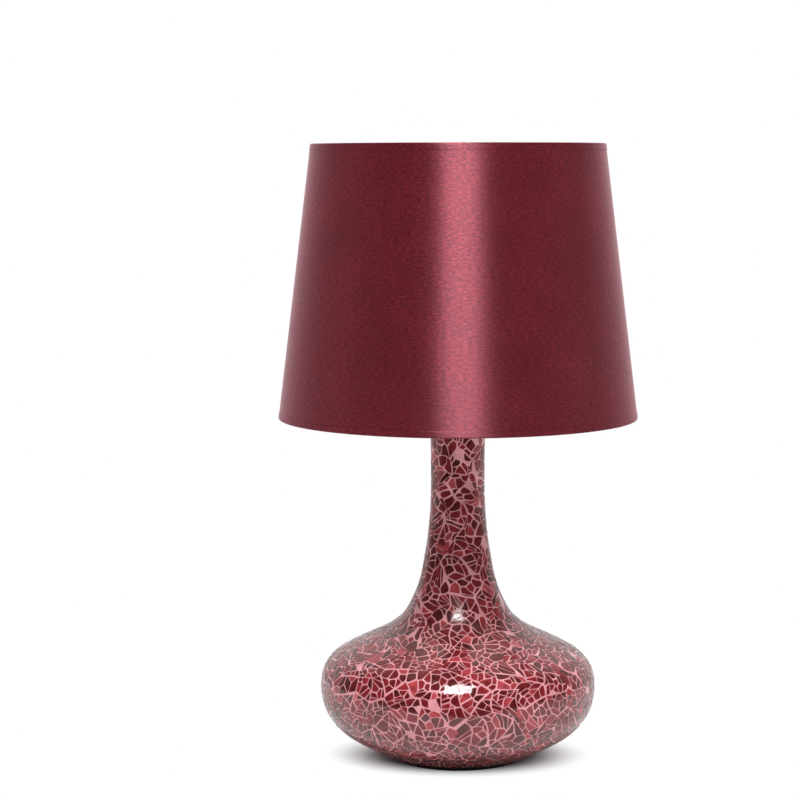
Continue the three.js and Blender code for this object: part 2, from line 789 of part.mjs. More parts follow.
function makeBulb() {
  const tipTopZ = bulbBottomZ + bulbTipHeight;
  const tipProfile = [
    [0, bulbBottomZ],
    [bulbTipFlatRadius, bulbBottomZ],
    [bulbTipRadius, tipTopZ - bulbTipEdge],
    [bulbTipRadius, tipTopZ],
    [0, tipTopZ],
  ];
  add("bulb_tip_contact", turned(tipProfile, smallSides), brass);

  const insulatorProfile = [
    [0, tipTopZ],
    [bulbInsulatorLowerRadius, tipTopZ],
    [bulbInsulatorUpperRadius, bulbCapBottomZ],
    [0, bulbCapBottomZ],
  ];
  add("bulb_insulator", turned(insulatorProfile), blackGlass);

  const pitch = (bulbCapHeight - bulbCapPlainHeight) / bulbThreadCount;
  const rootRadius = bulbCapRadius - bulbThreadDepth;
  const threadStartZ = bulbCapBottomZ + bulbCapEndHeight;
  const outside = [[bulbCapEndRadius, bulbCapBottomZ], [rootRadius, threadStartZ]];
  for (let turn = 0; turn < bulbThreadCount; turn += 1) {
    const crestZ = threadStartZ + (turn + 0.5) * pitch;
    outside.push([bulbCapRadius, crestZ], [rootRadius, crestZ + pitch / 2]);
  }
  outside.push([bulbCapRadius, bulbCapTopZ - bulbCapRimHeight], [bulbCapRadius, bulbCapTopZ]);
  const inside = [
    [bulbCapBore, bulbCapTopZ],
    [bulbCapBore, threadStartZ + bulbCapEndWall],
    [bulbCapEndRadius, bulbCapBottomZ + bulbCapEndWall],
  ];
  const capProfile = [...outside, ...inside];
  add("bulb_cap", turned(capProfile), aluminium);

  const glassProfile = [...bulbCurve(0), ...bulbCurve(bulbGlassWall).reverse()];
  add("bulb_glass", turned(glassProfile), bulbGlass);

  const stemBottomZ = bulbCapTopZ - bulbNeckDepth;
  const stemTopZ = stemBottomZ + bulbStemHeight;
  const stemProfile = [
    [0, stemBottomZ],
    [bulbNeckRadius - bulbGlassWall - bedding, stemBottomZ],
    [stemWaistRadius, stemBottomZ + stemWaistHeight],
    [stemHeadRadius, stemTopZ - stemHeadHeight],
    [stemEndRadius, stemTopZ],
    [0, stemTopZ],
  ];
  add("bulb_stem", turned(stemProfile, smallSides), bulbGlass);

  const reach = filamentSpan / 2;
  const supportTopZ = stemTopZ + supportHeight;
  for (const [name, side] of [["left", -1], ["right", 1]]) {
    const path = new THREE.CatmullRomCurve3([
      new THREE.Vector3(side * supportLowerReach, 0, stemTopZ - supportDepth),
      new THREE.Vector3(side * supportUpperReach, 0, stemTopZ + 1),
      new THREE.Vector3(side * reach, 0, supportTopZ),
    ]);
    add(`filament_support_${name}`, wire(path, supportWireRadius, supportSteps), tungsten);
  }

  const filamentStartZ = supportTopZ + filamentGap;
  const shoulderReach = reach * filamentShoulderReach;
  const shoulderZ = supportTopZ + filamentRise * filamentShoulderRise;
  const arch = new THREE.CatmullRomCurve3([
    new THREE.Vector3(-reach, 0, filamentStartZ),
    new THREE.Vector3(-shoulderReach, 0, shoulderZ),
    new THREE.Vector3(0, 0, supportTopZ + filamentRise),
    new THREE.Vector3(shoulderReach, 0, shoulderZ),
    new THREE.Vector3(reach, 0, filamentStartZ),
  ]);
  add("filament", wire(arch, filamentRadius, filamentSteps), tungsten);
}

// ---------------------------------------------------------------------------------------------
// Shade
// ---------------------------------------------------------------------------------------------

// The outside radius of the shade at a height.
function shadeRadiusAt(z) {
  const share = (z - shadeBottomZ) / shadeHeight;
  return shadeBottomRadius + share * (shadeTopRadius - shadeBottomRadius);
}

function makeShade() {
  const outer = (z, moveIn) => [shadeRadiusAt(z) - moveIn, z];
  const lipOuter = hemLipInset;
  const lipInner = hemLipInset + fabricThickness;
  const floorZ = shadeBottomZ + fabricThickness;
  const roofZ = shadeTopZ - fabricThickness;
  const fabricProfile = [
    outer(shadeBottomZ + hemTurn, lipInner),
    outer(shadeBottomZ + fabricThickness, lipInner),
    outer(shadeBottomZ, lipOuter),
    outer(shadeBottomZ, 0),
    outer(shadeTopZ, 0),
    outer(shadeTopZ, lipOuter),
    outer(roofZ, lipInner),
    outer(shadeTopZ - hemTurn, lipInner),
    outer(shadeTopZ - hemTurn, lipOuter),
    outer(roofZ, lipOuter),
    outer(roofZ, fabricThickness),
    outer(floorZ, fabricThickness),
    outer(floorZ, lipOuter),
    outer(shadeBottomZ + hemTurn, lipOuter),
  ];
  add("shade_fabric", turned(fabricProfile, shadeSides), burgundySatin);

  const linerOut = fabricThickness + bedding;
  const linerIn = linerOut + linerThickness;
  const linerProfile = [
    outer(shadeBottomZ + linerEndInset, linerIn),
    outer(shadeBottomZ + linerEndInset, linerOut),
    outer(shadeTopZ - linerEndInset, linerOut),
    outer(shadeTopZ - linerEndInset, linerIn),
  ];
  add("shade_liner", turned(linerProfile, shadeSides), styrene);

  for (const [name, z] of [["bottom", shadeBottomZ + wireInset], ["top", shadeTopZ - wireInset]]) {
    const radius = shadeRadiusAt(z) - wireInset;
    const geometry = new THREE.TorusGeometry(radius, shadeWireRadius, wireSides, shadeSides);
    add(`shade_${name}_wire`, geometry.translate(0, 0, z), whiteWire);
  }

  const fitterBore = skirtRadius + 2 * bedding;
  const fitterOuter = fitterBore + fitterWidth;
  const fitterTopZ = seatZ + fitterThickness;
  add("fitter_ring", ring(fitterBore, fitterOuter, seatZ, fitterTopZ, holderSides), whiteWire);

  // Each arm starts under the edge of the fitter ring and ends on top of the bottom wire.
  const armTopZ = seatZ - armWireRadius - bedding;
  const armBottomZ = shadeBottomZ + wireInset + shadeWireRadius + bedding + armWireRadius;
  const armInnerRadius = seatRadius + bedding;
  const armOuterRadius = shadeRadiusAt(armBottomZ) - linerIn - 2 * bedding;
  const rise = armTopZ - armBottomZ;
  const span = armOuterRadius - armInnerRadius;
  for (let arm = 0; arm < armCount; arm += 1) {
    const angle = Math.PI / 2 + (arm * 2 * Math.PI) / armCount;
    const at = (radius, z) => new THREE.Vector3(radius * Math.cos(angle), radius * Math.sin(angle), z);
    const path = new THREE.CatmullRomCurve3([
      at(armInnerRadius, armTopZ),
      ...armCourse.map(([out, fall]) => at(armInnerRadius + out * span, armTopZ - fall * rise)),
      at(armOuterRadius, armBottomZ),
    ]);
    add(`shade_arm_${arm + 1}`, wire(path, armWireRadius, armSteps), whiteWire);
  }
}

function makeRetainingRing() {
  const bottomZ = seatZ + fitterThickness;
  const topZ = bottomZ + ringHeight;
  const flangeRadius = ringBoreRadius + ringFlangeWidth;
  const collarRadius = ringBoreRadius + ringCollarWall;
  const profile = [
    [ringBoreRadius, bottomZ],
    [flangeRadius, bottomZ],
    [flangeRadius, bottomZ + ringFlangeThickness / 2],
    [flangeRadius - ringFlangeBevel, bottomZ + ringFlangeThickness],
    [collarRadius, bottomZ + ringFlangeThickness],
    [collarRadius, topZ - ringRimBevel],
    [collarRadius - ringRimBevel, topZ],
    [ringBoreRadius, topZ],
  ];
  add("retaining_ring", turned(profile, holderSides), phenolic);
}

makeFoot();
makeVessel();
makePipe();
makeNeck();
makeHolder();
makeSwitch();
makeBulb();
makeShade();
makeRetainingRing();

export default lamp;
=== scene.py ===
# %% [markdown]
# A table lamp: a glass vessel crusted with broken glass and grout, and a satin shade above it.
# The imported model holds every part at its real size, so this script loads it first and builds
# the finer surfaces around it. Everything is in metres, +Z up, and the front faces -Y.

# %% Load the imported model
import math

import bmesh
import bpy
import numpy as np
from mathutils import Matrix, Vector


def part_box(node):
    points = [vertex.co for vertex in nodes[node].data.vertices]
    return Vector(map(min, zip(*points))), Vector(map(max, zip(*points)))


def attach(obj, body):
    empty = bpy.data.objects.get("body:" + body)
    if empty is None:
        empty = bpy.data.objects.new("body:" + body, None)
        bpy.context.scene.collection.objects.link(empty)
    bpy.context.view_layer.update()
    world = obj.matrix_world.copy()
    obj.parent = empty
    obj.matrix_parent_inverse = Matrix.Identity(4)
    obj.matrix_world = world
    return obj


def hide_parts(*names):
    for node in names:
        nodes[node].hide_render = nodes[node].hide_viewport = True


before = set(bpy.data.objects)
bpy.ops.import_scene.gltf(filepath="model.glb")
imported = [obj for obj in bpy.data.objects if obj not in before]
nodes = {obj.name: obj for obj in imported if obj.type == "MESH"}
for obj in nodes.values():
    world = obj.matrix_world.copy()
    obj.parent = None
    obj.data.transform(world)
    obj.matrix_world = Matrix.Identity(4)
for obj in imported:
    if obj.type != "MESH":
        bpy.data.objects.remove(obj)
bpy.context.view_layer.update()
MM = 0.001


# %% [markdown]
# The camera comes first, because every finish is judged through it. A long lens from well in
# front keeps the rims of the shade nearly level. It stands a little above the table, looks
# slightly down, and is turned a degree to the left, which sets the lamp right of centre.

# %% Camera
CAMERA_BACK = 1.322
CAMERA_UP = 0.350
LOOK_DOWN = math.radians(6.0)
TURN_LEFT = math.radians(1.45)
ROLL = math.radians(0.12)
LENS_MM = 102.4
SENSOR_MM = 36.0

lens = bpy.data.cameras.new("studio_camera")
lens.lens = LENS_MM
lens.sensor_width = SENSOR_MM
camera = bpy.data.objects.new("studio_camera", lens)
camera.location = (0, -CAMERA_BACK, CAMERA_UP)
camera.rotation_euler = (math.pi / 2 - LOOK_DOWN, ROLL, TURN_LEFT)
bpy.context.scene.collection.objects.link(camera)
bpy.context.scene.camera = camera


# %% [markdown]
# Every material is made of the same few steps: add a node, set it, link it. One helper does
# that, and another turns the sRGB colours that people read into the linear ones that a shader
# needs.

# %% Helpers for materials
def linear(hex_colour):
    """An sRGB hex colour as linear red, green, blue and alpha."""
    srgb = np.array([int(hex_colour[i:i + 2], 16) for i in (1, 3, 5)]) / 255
    rgb = np.where(srgb <= 0.04045, srgb / 12.92, ((srgb + 0.055) / 1.055) ** 2.4)
    return (*rgb.tolist(), 1.0)


def add_node(tree, kind, inputs=None, stops=None, **settings):
    """Adds a node with its settings. Its inputs take values or other nodes' sockets, and a
    colour ramp takes its stops as (position, hex colour) pairs."""
    made = tree.nodes.new(kind)
    for key, value in settings.items():
        setattr(made, key, value)
    for key, value in (inputs or {}).items():
        if isinstance(value, bpy.types.NodeSocket):
            tree.links.new(value, made.inputs[key])
        else:
            made.inputs[key].default_value = value
    if stops:
        while len(made.color_ramp.elements) < len(stops):
            made.color_ramp.elements.new(0.5)
        for element, (position, colour) in zip(made.color_ramp.elements, stops):
            element.position = position
            element.color = linear(colour)
    return made


def start_material(name, **sockets):
    """A new material, its node tree and its Principled shader, with the shader's own values."""
    made = bpy.data.materials.new(name)
    made.use_nodes = True
    shader = made.node_tree.nodes["Principled BSDF"]
    for key, value in sockets.items():
        shader.inputs[key.replace("_", " ")].default_value = value
    return made, made.node_tree, shader


# %% [markdown]
# New surfaces are worked out with numpy as whole arrays. A mesh takes its corner positions and
# its faces from arrays, so no loop runs over the vertices.

# %% Helpers for meshes
def make_piece(name, points, faces, body, material, smooth=True):
    """A mesh from an (n, 3) array of points and a list of (m, k) arrays of k-cornered faces."""
    mesh = bpy.data.meshes.new(name)
    corners = np.concatenate([block.ravel() for block in faces])
    sizes = np.concatenate([np.full(len(block), block.shape[1]) for block in faces])
    mesh.vertices.add(len(points))
    mesh.vertices.foreach_set("co", np.asarray(points, np.float32).ravel())
    mesh.loops.add(len(corners))
    mesh.loops.foreach_set("vertex_index", corners.astype(np.int32))
    mesh.polygons.add(len(sizes))
    mesh.polygons.foreach_set("loop_start", (np.cumsum(sizes) - sizes).astype(np.int32))
    mesh.polygons.foreach_set("use_smooth", np.full(len(sizes), smooth))
    mesh.update(calc_edges=True)
    mesh.validate()
    piece = bpy.data.objects.new(name, mesh)
    bpy.context.scene.collection.objects.link(piece)
    mesh.materials.append(material)
    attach(piece, body)
    return piece


def normalised(vector):
    return np.asarray(vector, float) / np.linalg.norm(vector)


def close_poles(piece):
    """Merges the corners that meet on the axis, so that each pole is one point."""
    mesh = bmesh.new()
    mesh.from_mesh(piece.data)
    bmesh.ops.remove_doubles(mesh, verts=mesh.verts, dist=1e-6)
    mesh.to_mesh(piece.data)
    mesh.free()


def ring_faces(rows, columns, closed_rows=False):
    """Quads over a grid whose columns close round the axis, and whose rows may close as well."""
    row = np.arange(rows if closed_rows else rows - 1)[:, None]
    column = np.arange(columns)[None, :]
    across = (column + 1) % columns
    above = (row + 1) % rows
    corner = [row * columns + column, row * columns + across, above * columns + across,
              above * columns + column]
    return np.stack(corner, axis=-1).reshape(-1, 4)


def sweep_round(profile, sides):
    """Points of a profile of (radius, height) rows carried round the z axis in equal steps."""
    turn = np.arange(sides) * 2 * np.pi / sides
    radius, height = profile[:, :1], profile[:, 1:]
    grid = np.stack([radius * np.sin(turn), -radius * np.cos(turn), height + 0 * turn], axis=-1)
    return grid.reshape(-1, 3)


# %% [markdown]
# The mosaic is a hand-made skin: panes of dark red glass are stuck to the vessel, cracked, and
# the cracks are filled with pink grout and varnished over. The vessel's outline is read from
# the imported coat, so the skin follows it. A smooth curve through the outline's corners gives the
# radius and the height at any distance along it.

# %% The outline of the mosaic, read from the model
def outline_corners(node):
    """(radius, height) corners of a turned shell's outside: the ends of the faces at the front
    that point away from the axis, from the bottom up."""
    mesh = nodes[node].data
    count = len(mesh.polygons)
    normal = np.empty(count * 3)
    centre = np.empty(count * 3)
    mesh.polygons.foreach_get("normal", normal)
    mesh.polygons.foreach_get("center", centre)
    normal, centre = normal.reshape(-1, 3), centre.reshape(-1, 3)
    flat_distance = np.hypot(centre[:, 0], centre[:, 1])
    away = (normal[:, 0] * centre[:, 0] + normal[:, 1] * centre[:, 1]) / flat_distance
    outside = (away > 0.25) & (centre[:, 1] < 0)
    corners = np.empty(count * 3, np.int32)
    mesh.polygons.foreach_get("vertices", corners)
    place = np.empty(len(mesh.vertices) * 3)
    mesh.vertices.foreach_get("co", place)
    place = place.reshape(-1, 3)[corners.reshape(-1, 3)[outside].ravel()]
    pairs = np.stack([np.hypot(place[:, 0], place[:, 1]), place[:, 2]], axis=-1)
    pairs = np.unique(np.round(pairs, 5), axis=0)
    return pairs[np.argsort(pairs[:, 1])]


def smooth_outline(corners, count):
    """A cubic Hermite curve through the corners, in equal steps. At each corner its direction
    is the mean of the chords beside it, each weighted by the length of the other."""
    chord = np.diff(corners, axis=0)
    length = np.hypot(chord[:, 0], chord[:, 1])
    slope = chord / length[:, None]
    inner = slope[:-1] * length[1:, None] + slope[1:] * length[:-1, None]
    inner /= (length[:-1] + length[1:])[:, None]
    tangent = np.vstack([2 * slope[0] - inner[0], inner, 2 * slope[-1] - inner[-1]])
    share = np.linspace(0, 1, 40, endpoint=False)[None, :, None]
    a, b = corners[:-1, None], corners[1:, None]
    lead = tangent[:-1, None] * length[:, None, None]
    trail = tangent[1:, None] * length[:, None, None]
    fine = ((2 * share**3 - 3 * share**2 + 1) * a + (share**3 - 2 * share**2 + share) * lead
            + (3 * share**2 - 2 * share**3) * b + (share**3 - share**2) * trail)
    fine = np.vstack([fine.reshape(-1, 2), corners[-1]])
    travelled = np.r_[0, np.cumsum(np.hypot(*np.diff(fine, axis=0).T))]
    even = np.linspace(0, travelled[-1], count)
    return np.stack([np.interp(even, travelled, fine[:, k]) for k in (0, 1)], axis=-1), even


corners = outline_corners("mosaic_coat")
outline, outline_at = smooth_outline(corners, 900)
outline_slope = np.gradient(outline, outline_at, axis=0)
outline_slope /= np.hypot(*outline_slope.T)[:, None]
outline_length = outline_at[-1]
print("outline corners", len(corners), "length mm", round(outline_length / MM, 1))


def on_outline(along, values):
    """Values that belong to the outline's points, read at distances along it."""
    return np.interp(along, outline_at, values)


def surface_frame(along, turn):
    """The point, outward normal, level tangent and rising tangent at a distance along the
    outline and an angle round it. Angle 0 is the front."""
    radius, height = on_outline(along, outline[:, 0]), on_outline(along, outline[:, 1])
    slope_r, slope_z = on_outline(along, outline_slope[:, 0]), on_outline(along, outline_slope[:, 1])
    out = np.stack([np.sin(turn), -np.cos(turn), 0 * turn], axis=-1)
    level = np.stack([np.cos(turn), np.sin(turn), 0 * turn], axis=-1)
    up = np.array([0, 0, 1.0])
    point = out * radius[..., None] + up * height[..., None]
    normal = out * slope_z[..., None] - up * slope_r[..., None]
    rising = out * slope_r[..., None] + up * slope_z[..., None]
    return point, normal, level, rising


# %% [markdown]
# Panes of glass about 15 mm across are laid first, and then each is cracked into shards. The
# panes are the cells of scattered seeds: every point of the skin belongs to its nearest seed.
# The shards are the cells of a second, finer scatter, cut again at the edges of their pane, so
# long cracks between panes run straight past the short ones inside them, as on the real skin.

# %% Scatter seeds over the skin
PANE_SPACING = 15.5 * MM
SHARD_SPACING = 4.15 * MM
PANE_FLATNESS = 0.66
rng = np.random.default_rng(7)


def scatter(spacing, flatness, jitter, keep):
    """Seeds in rows flatness times a spacing apart, as many to a row as fit round it, each moved
    at random by up to half the jitter times the spacing. A share of them is kept."""
    rows = int(round(outline_length / (spacing * flatness)))
    row_at = (np.arange(rows) + 0.5) * outline_length / rows
    row_radius = on_outline(row_at, outline[:, 0])
    per_row = np.maximum(4, np.round(2 * np.pi * row_radius / spacing)).astype(int)
    along = np.repeat(row_at, per_row)
    first = np.repeat(np.cumsum(per_row) - per_row, per_row)
    place = np.arange(len(along)) - first + np.repeat(rng.random(rows), per_row)
    turn = 2 * np.pi * place / np.repeat(per_row, per_row)
    along = along + jitter * spacing * flatness * (rng.random(len(along)) - 0.5)
    radius = on_outline(along, outline[:, 0])
    turn = turn + jitter * spacing / radius * (rng.random(len(along)) - 0.5)
    kept = rng.random(len(along)) < keep
    return np.clip(along[kept], 0, outline_length), turn[kept]


pane_along, pane_turn = scatter(PANE_SPACING, PANE_FLATNESS, 0.9, 0.97)
shard_along, shard_turn = scatter(SHARD_SPACING, 1.0, 1.15, 0.93)
pane_point = surface_frame(pane_along, pane_turn)[0]
shard_point, _, shard_level, shard_rising = surface_frame(shard_along, shard_turn)
print("panes", len(pane_along), "shards", len(shard_along))


# %% [markdown]
# A cell is what is left of a flat sheet after every nearer neighbour has taken its side. Each
# neighbour gives a half-plane, moved back by half the grout joint, and the cell's corners are
# the crossings of two edges that no other half-plane cuts off. All crossings of all cells are
# worked out at once.

# %% Cut the shards
SHARD_NEIGHBOURS = 9
PANE_NEIGHBOURS = 8
LARGEST_REACH = 7.0 * MM
CRACK_WIDTH = (0.40 * MM, 0.78 * MM)
JOINT_WIDTH = (0.45 * MM, 1.05 * MM)


def nearest(from_points, to_points, count, same=None):
    """The nearest to_points of each from_point, and how far they are. Pairs outside same are
    put out of reach."""
    gap = np.linalg.norm(from_points[:, None] - to_points[None], axis=-1)
    if same is not None:
        gap = np.where(same, gap, 1.0)
    order = np.argsort(gap, axis=1)[:, :count]
    return order, np.take_along_axis(gap, order, axis=1)


pane_of_shard = nearest(shard_point, pane_point, 1)[0][:, 0]
same_pane = pane_of_shard[:, None] == pane_of_shard[None]
np.fill_diagonal(same_pane, False)
shard_near, shard_gap = nearest(shard_point, shard_point, SHARD_NEIGHBOURS, same_pane)
pane_near = nearest(pane_point, pane_point, PANE_NEIGHBOURS + 1)[0][:, 1:]


def flat(vectors):
    """Vectors in each shard's own plane, along its level and its rising tangent."""
    level = np.einsum("nkc,nc->nk", vectors, shard_level)
    rising = np.einsum("nkc,nc->nk", vectors, shard_rising)
    return np.stack([level, rising], axis=-1)


def half_planes(towards, middle, width):
    """Unit directions and distances of the half-planes across towards, through middle, less
    half of the joint's width."""
    length = np.linalg.norm(towards, axis=-1)
    direction = towards / np.maximum(length, 1e-9)[..., None]
    distance = (direction * middle).sum(-1) - width / 2
    return direction, distance


def joint_width(first, second, limits):
    """A width for the joint of two seeds, the same from both sides: a sine of their numbers."""
    low, high = np.minimum(first, second), np.maximum(first, second)
    mix = 0.5 + 0.5 * np.sin(low * 12.9898 + high * 78.233)
    return limits[0] + (limits[1] - limits[0]) * mix**2


number = np.arange(len(shard_point))[:, None]
to_shard = flat(shard_point[shard_near] - shard_point[:, None])
crack = joint_width(number, shard_near, CRACK_WIDTH)
direction_a, distance_a = half_planes(to_shard, to_shard / 2, crack)
distance_a = np.where(shard_gap < 0.5, distance_a, 1.0)

own_pane = pane_point[pane_of_shard][:, None]
next_pane = pane_point[pane_near[pane_of_shard]]
across = flat(next_pane - own_pane)
middle = flat((next_pane + own_pane) / 2 - shard_point[:, None])
joint = joint_width(pane_of_shard[:, None], pane_near[pane_of_shard], JOINT_WIDTH)
direction_b, distance_b = half_planes(across, middle, joint)

fence_angle = np.arange(8) * np.pi / 4
fence = np.stack([np.cos(fence_angle), np.sin(fence_angle)], axis=-1)
direction_c = np.broadcast_to(fence, (len(number), 8, 2))
distance_c = np.full((len(number), 8), LARGEST_REACH)

direction = np.concatenate([direction_a, direction_b, direction_c], axis=1)
distance = np.concatenate([distance_a, distance_b, distance_c], axis=1)


def cell_corners(direction, distance, most=11):
    """Corners of every cell in order round it, how many each has, and its middle."""
    one, two = np.triu_indices(direction.shape[1], 1)
    a, b = direction[:, one], direction[:, two]
    cross = a[..., 0] * b[..., 1] - a[..., 1] * b[..., 0]
    safe = np.where(np.abs(cross) < 1e-6, 1, cross)
    x = (distance[:, one] * b[..., 1] - distance[:, two] * a[..., 1]) / safe
    y = (distance[:, two] * a[..., 0] - distance[:, one] * b[..., 0]) / safe
    reach = (direction[:, None, :, 0] * x[..., None] + direction[:, None, :, 1] * y[..., None])
    inside = (reach <= distance[:, None, :] + 1e-8).all(-1) & (np.abs(cross) > 1e-6)
    count = inside.sum(1)
    middle_x = (x * inside).sum(1) / np.maximum(count, 1)
    middle_y = (y * inside).sum(1) / np.maximum(count, 1)
    angle = np.arctan2(y - middle_y[:, None], x - middle_x[:, None])
    order = np.argsort(np.where(inside, angle, 9.0), axis=1)[:, :most]
    found = np.stack([np.take_along_axis(x, order, 1), np.take_along_axis(y, order, 1)], axis=-1)
    return found, np.minimum(count, most), np.stack([middle_x, middle_y], axis=-1)


parts = [cell_corners(direction[i:i + 400], distance[i:i + 400]) for i in range(0, len(number), 400)]
cell, cell_size, cell_middle = (np.concatenate([part[k] for part in parts]) for k in range(3))
print("corners per shard", round(float(cell_size.mean()), 2))


# %% [markdown]
# A shard is a chip of thin blown glass, so it curves with the vessel, and each sits at its own
# slight tilt. Its edge is rounded under the varnish. Chips too small to hold fall out and leave
# a patch of grout, and so do a few of the rest. To build one, its corners are laid on the skin:
# a step across moves round the vessel, and a step up moves along the outline. A smooth drift of
# about a millimetre, the same for all neighbours, bends the long cracks as a real crack bends.

# %% Choose the shards
SMALLEST_AREA = 1.1 * MM * MM
NARROWEST = 0.62 * MM
FALLEN_OUT = 0.02
TILT = math.radians(0.7)


def polygon_size(corner, size):
    """Area inside each cell, by the shoelace sum over its own corners, and its mean width: twice
    the area over the length of its edge."""
    index = np.arange(corner.shape[1])
    following = np.where(index[None] + 1 < size[:, None], index[None] + 1, 0)
    after = np.take_along_axis(corner, following[..., None], axis=1)
    cross = corner[..., 0] * after[..., 1] - corner[..., 1] * after[..., 0]
    own = index[None] < size[:, None]
    edge = (np.linalg.norm(after - corner, axis=-1) * own).sum(1)
    inside = 0.5 * (cross * own).sum(1)
    return inside, 2 * inside / np.maximum(edge, 1e-9)


inlet_low, inlet_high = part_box("flex_grommet")
inlet = np.array((inlet_low + inlet_high) / 2)
inlet_reach = (inlet_high.x - inlet_low.x) / 2
area, mean_width = polygon_size(cell, cell_size)
clear_of_inlet = (np.hypot(shard_point[:, 0] - inlet[0], shard_point[:, 2] - inlet[2])
                  > inlet_reach + 1.5 * MM) | (shard_point[:, 1] < 0)
kept = (cell_size > 2) & (area > SMALLEST_AREA) & (mean_width > NARROWEST) & clear_of_inlet
kept &= rng.random(len(area)) > FALLEN_OUT
tone = rng.random((len(area), 3))
tilt = rng.normal(0, TILT, (len(area), 2))
print("shards kept", int(kept.sum()), "mean area mm2", round(float(area[kept].mean() / MM**2), 1))


# %% Lay corners on the skin
DRIFT = 1.0 * MM
DRIFT_WAVES = 10
drift_crests = rng.integers(-9, 10, (2, DRIFT_WAVES))
drift_wave = 2 * np.pi / (rng.uniform(16, 45, (2, DRIFT_WAVES)) * MM)
drift_phase = rng.uniform(0, 2 * np.pi, (2, DRIFT_WAVES))


def drift(along, turn):
    """A smooth random step along and across the skin: two sums of waves that close round it."""
    steps = [np.sin(c * turn[..., None] + w * along[..., None] + p).sum(-1)
             for c, w, p in zip(drift_crests, drift_wave, drift_phase)]
    fade = np.clip(np.minimum(along, outline_length - along) / (4 * MM), 0, 1)
    return [fade * step * DRIFT / math.sqrt(DRIFT_WAVES / 2) for step in steps]


def laid(chosen, flat_place, height):
    """Places in the shards' own planes, laid on the skin at a height above it."""
    along = np.clip(shard_along[chosen][:, None] + flat_place[..., 1], 0, outline_length)
    turn = shard_turn[chosen][:, None] + flat_place[..., 0] / on_outline(along, outline[:, 0])
    step_along, step_across = drift(along, turn)
    along = np.clip(along + step_along, 0, outline_length)
    turn = turn + step_across / on_outline(along, outline[:, 0])
    point, normal, _, _ = surface_frame(along, turn)
    lean = ((flat_place - cell_middle[chosen][:, None]) * tilt[chosen][:, None]).sum(-1)
    return point + normal * (height + lean)[..., None]


# %% Build the shards
SHARD_TOP = 0.09 * MM
SHARD_DEPTH = 0.8 * MM
EDGE_DROP = 0.07 * MM
EDGE_ROUND = 0.12 * MM
EDGE_HOLD = 0.30 * MM
CORNER_WORN = 0.26 * MM
SIDE_WAVE = 0.07 * MM


def shards_of_size(size, wanted):
    """Points and faces of all wanted shards with this many corners. The corners are worn back a
    little and each side gets a middle point, pushed in or out. Then come five rings: the
    underside, the foot and the top of the rounded edge, a ring that keeps the rest even, and
    one half way in. One point in the middle closes the top."""
    chosen = np.flatnonzero(wanted & (cell_size == size))
    corner = cell[chosen, :size]
    middle = cell_middle[chosen][:, None]
    side_middle = (corner + np.roll(corner, -1, axis=1)) / 2
    edge = np.stack([corner, side_middle], axis=2).reshape(len(chosen), 2 * size, 2)
    spread = np.maximum(np.linalg.norm(edge - middle, axis=-1, keepdims=True), 1e-6)
    set_back = rng.uniform(-SIDE_WAVE, SIDE_WAVE, spread.shape)
    set_back[:, ::2] = CORNER_WORN * rng.uniform(0.2, 1, set_back[:, ::2].shape)
    edge = middle + (edge - middle) * (1 - set_back / spread)
    inner = [middle + (edge - middle) * np.maximum(1 - set_in / spread, 0.55)
             for set_in in (EDGE_ROUND, EDGE_HOLD)]
    half_way = middle + (inner[1] - middle) * 0.5
    flat_rings = [edge, edge, inner[0], inner[1], half_way, middle]
    heights = [-SHARD_DEPTH, SHARD_TOP - EDGE_DROP] + [SHARD_TOP] * 4
    rings = [laid(chosen, place, height) for place, height in zip(flat_rings, heights)]
    points = np.concatenate(rings, axis=1)
    round_it = 2 * size
    base = np.arange(len(chosen))[:, None] * points.shape[1]
    here = np.arange(round_it)[None]
    there = (here + 1) % round_it
    faces = [base + here[:, ::-1]]
    for level in range(4):
        low, high = base + level * round_it, base + (level + 1) * round_it
        faces.append(np.stack([low + here, low + there, high + there, high + here], -1).reshape(-1, 4))
    top = base + 4 * round_it
    peak = np.broadcast_to(base + 5 * round_it, top.shape[:1] + (round_it,))
    faces.append(np.stack([top + here, top + there, peak], -1).reshape(-1, 3))
    return points.reshape(-1, 3), faces, np.repeat(tone[chosen], points.shape[1], axis=0)


def gather(sizes, wanted):
    """The wanted shards together: points, faces grouped by number of corners, and tones."""
    points, tones, groups, start = [], [], {}, 0
    for size in sizes:
        new_points, faces, tone_here = shards_of_size(size, wanted)
        if not len(new_points):
            continue
        for block in faces:
            groups.setdefault(block.shape[1], []).append(block + start)
        points.append(new_points)
        tones.append(tone_here)
        start += len(new_points)
    return np.concatenate(points), [np.concatenate(g) for g in groups.values()], np.concatenate(tones)


# %% [markdown]
# The shards are dark red glass, and the light that comes back out of them was tinted on the way
# in and out. They are drawn as a deep, solid red under one clear gloss: the varnish over them
# bends light about as much as the glass does, so the two mirror as one layer. Each shard has
# random numbers of its own in an attribute, which make some shards lighter than others. The
# varnish ran down and pooled on the belly, so the shoulder and the neck are duller.

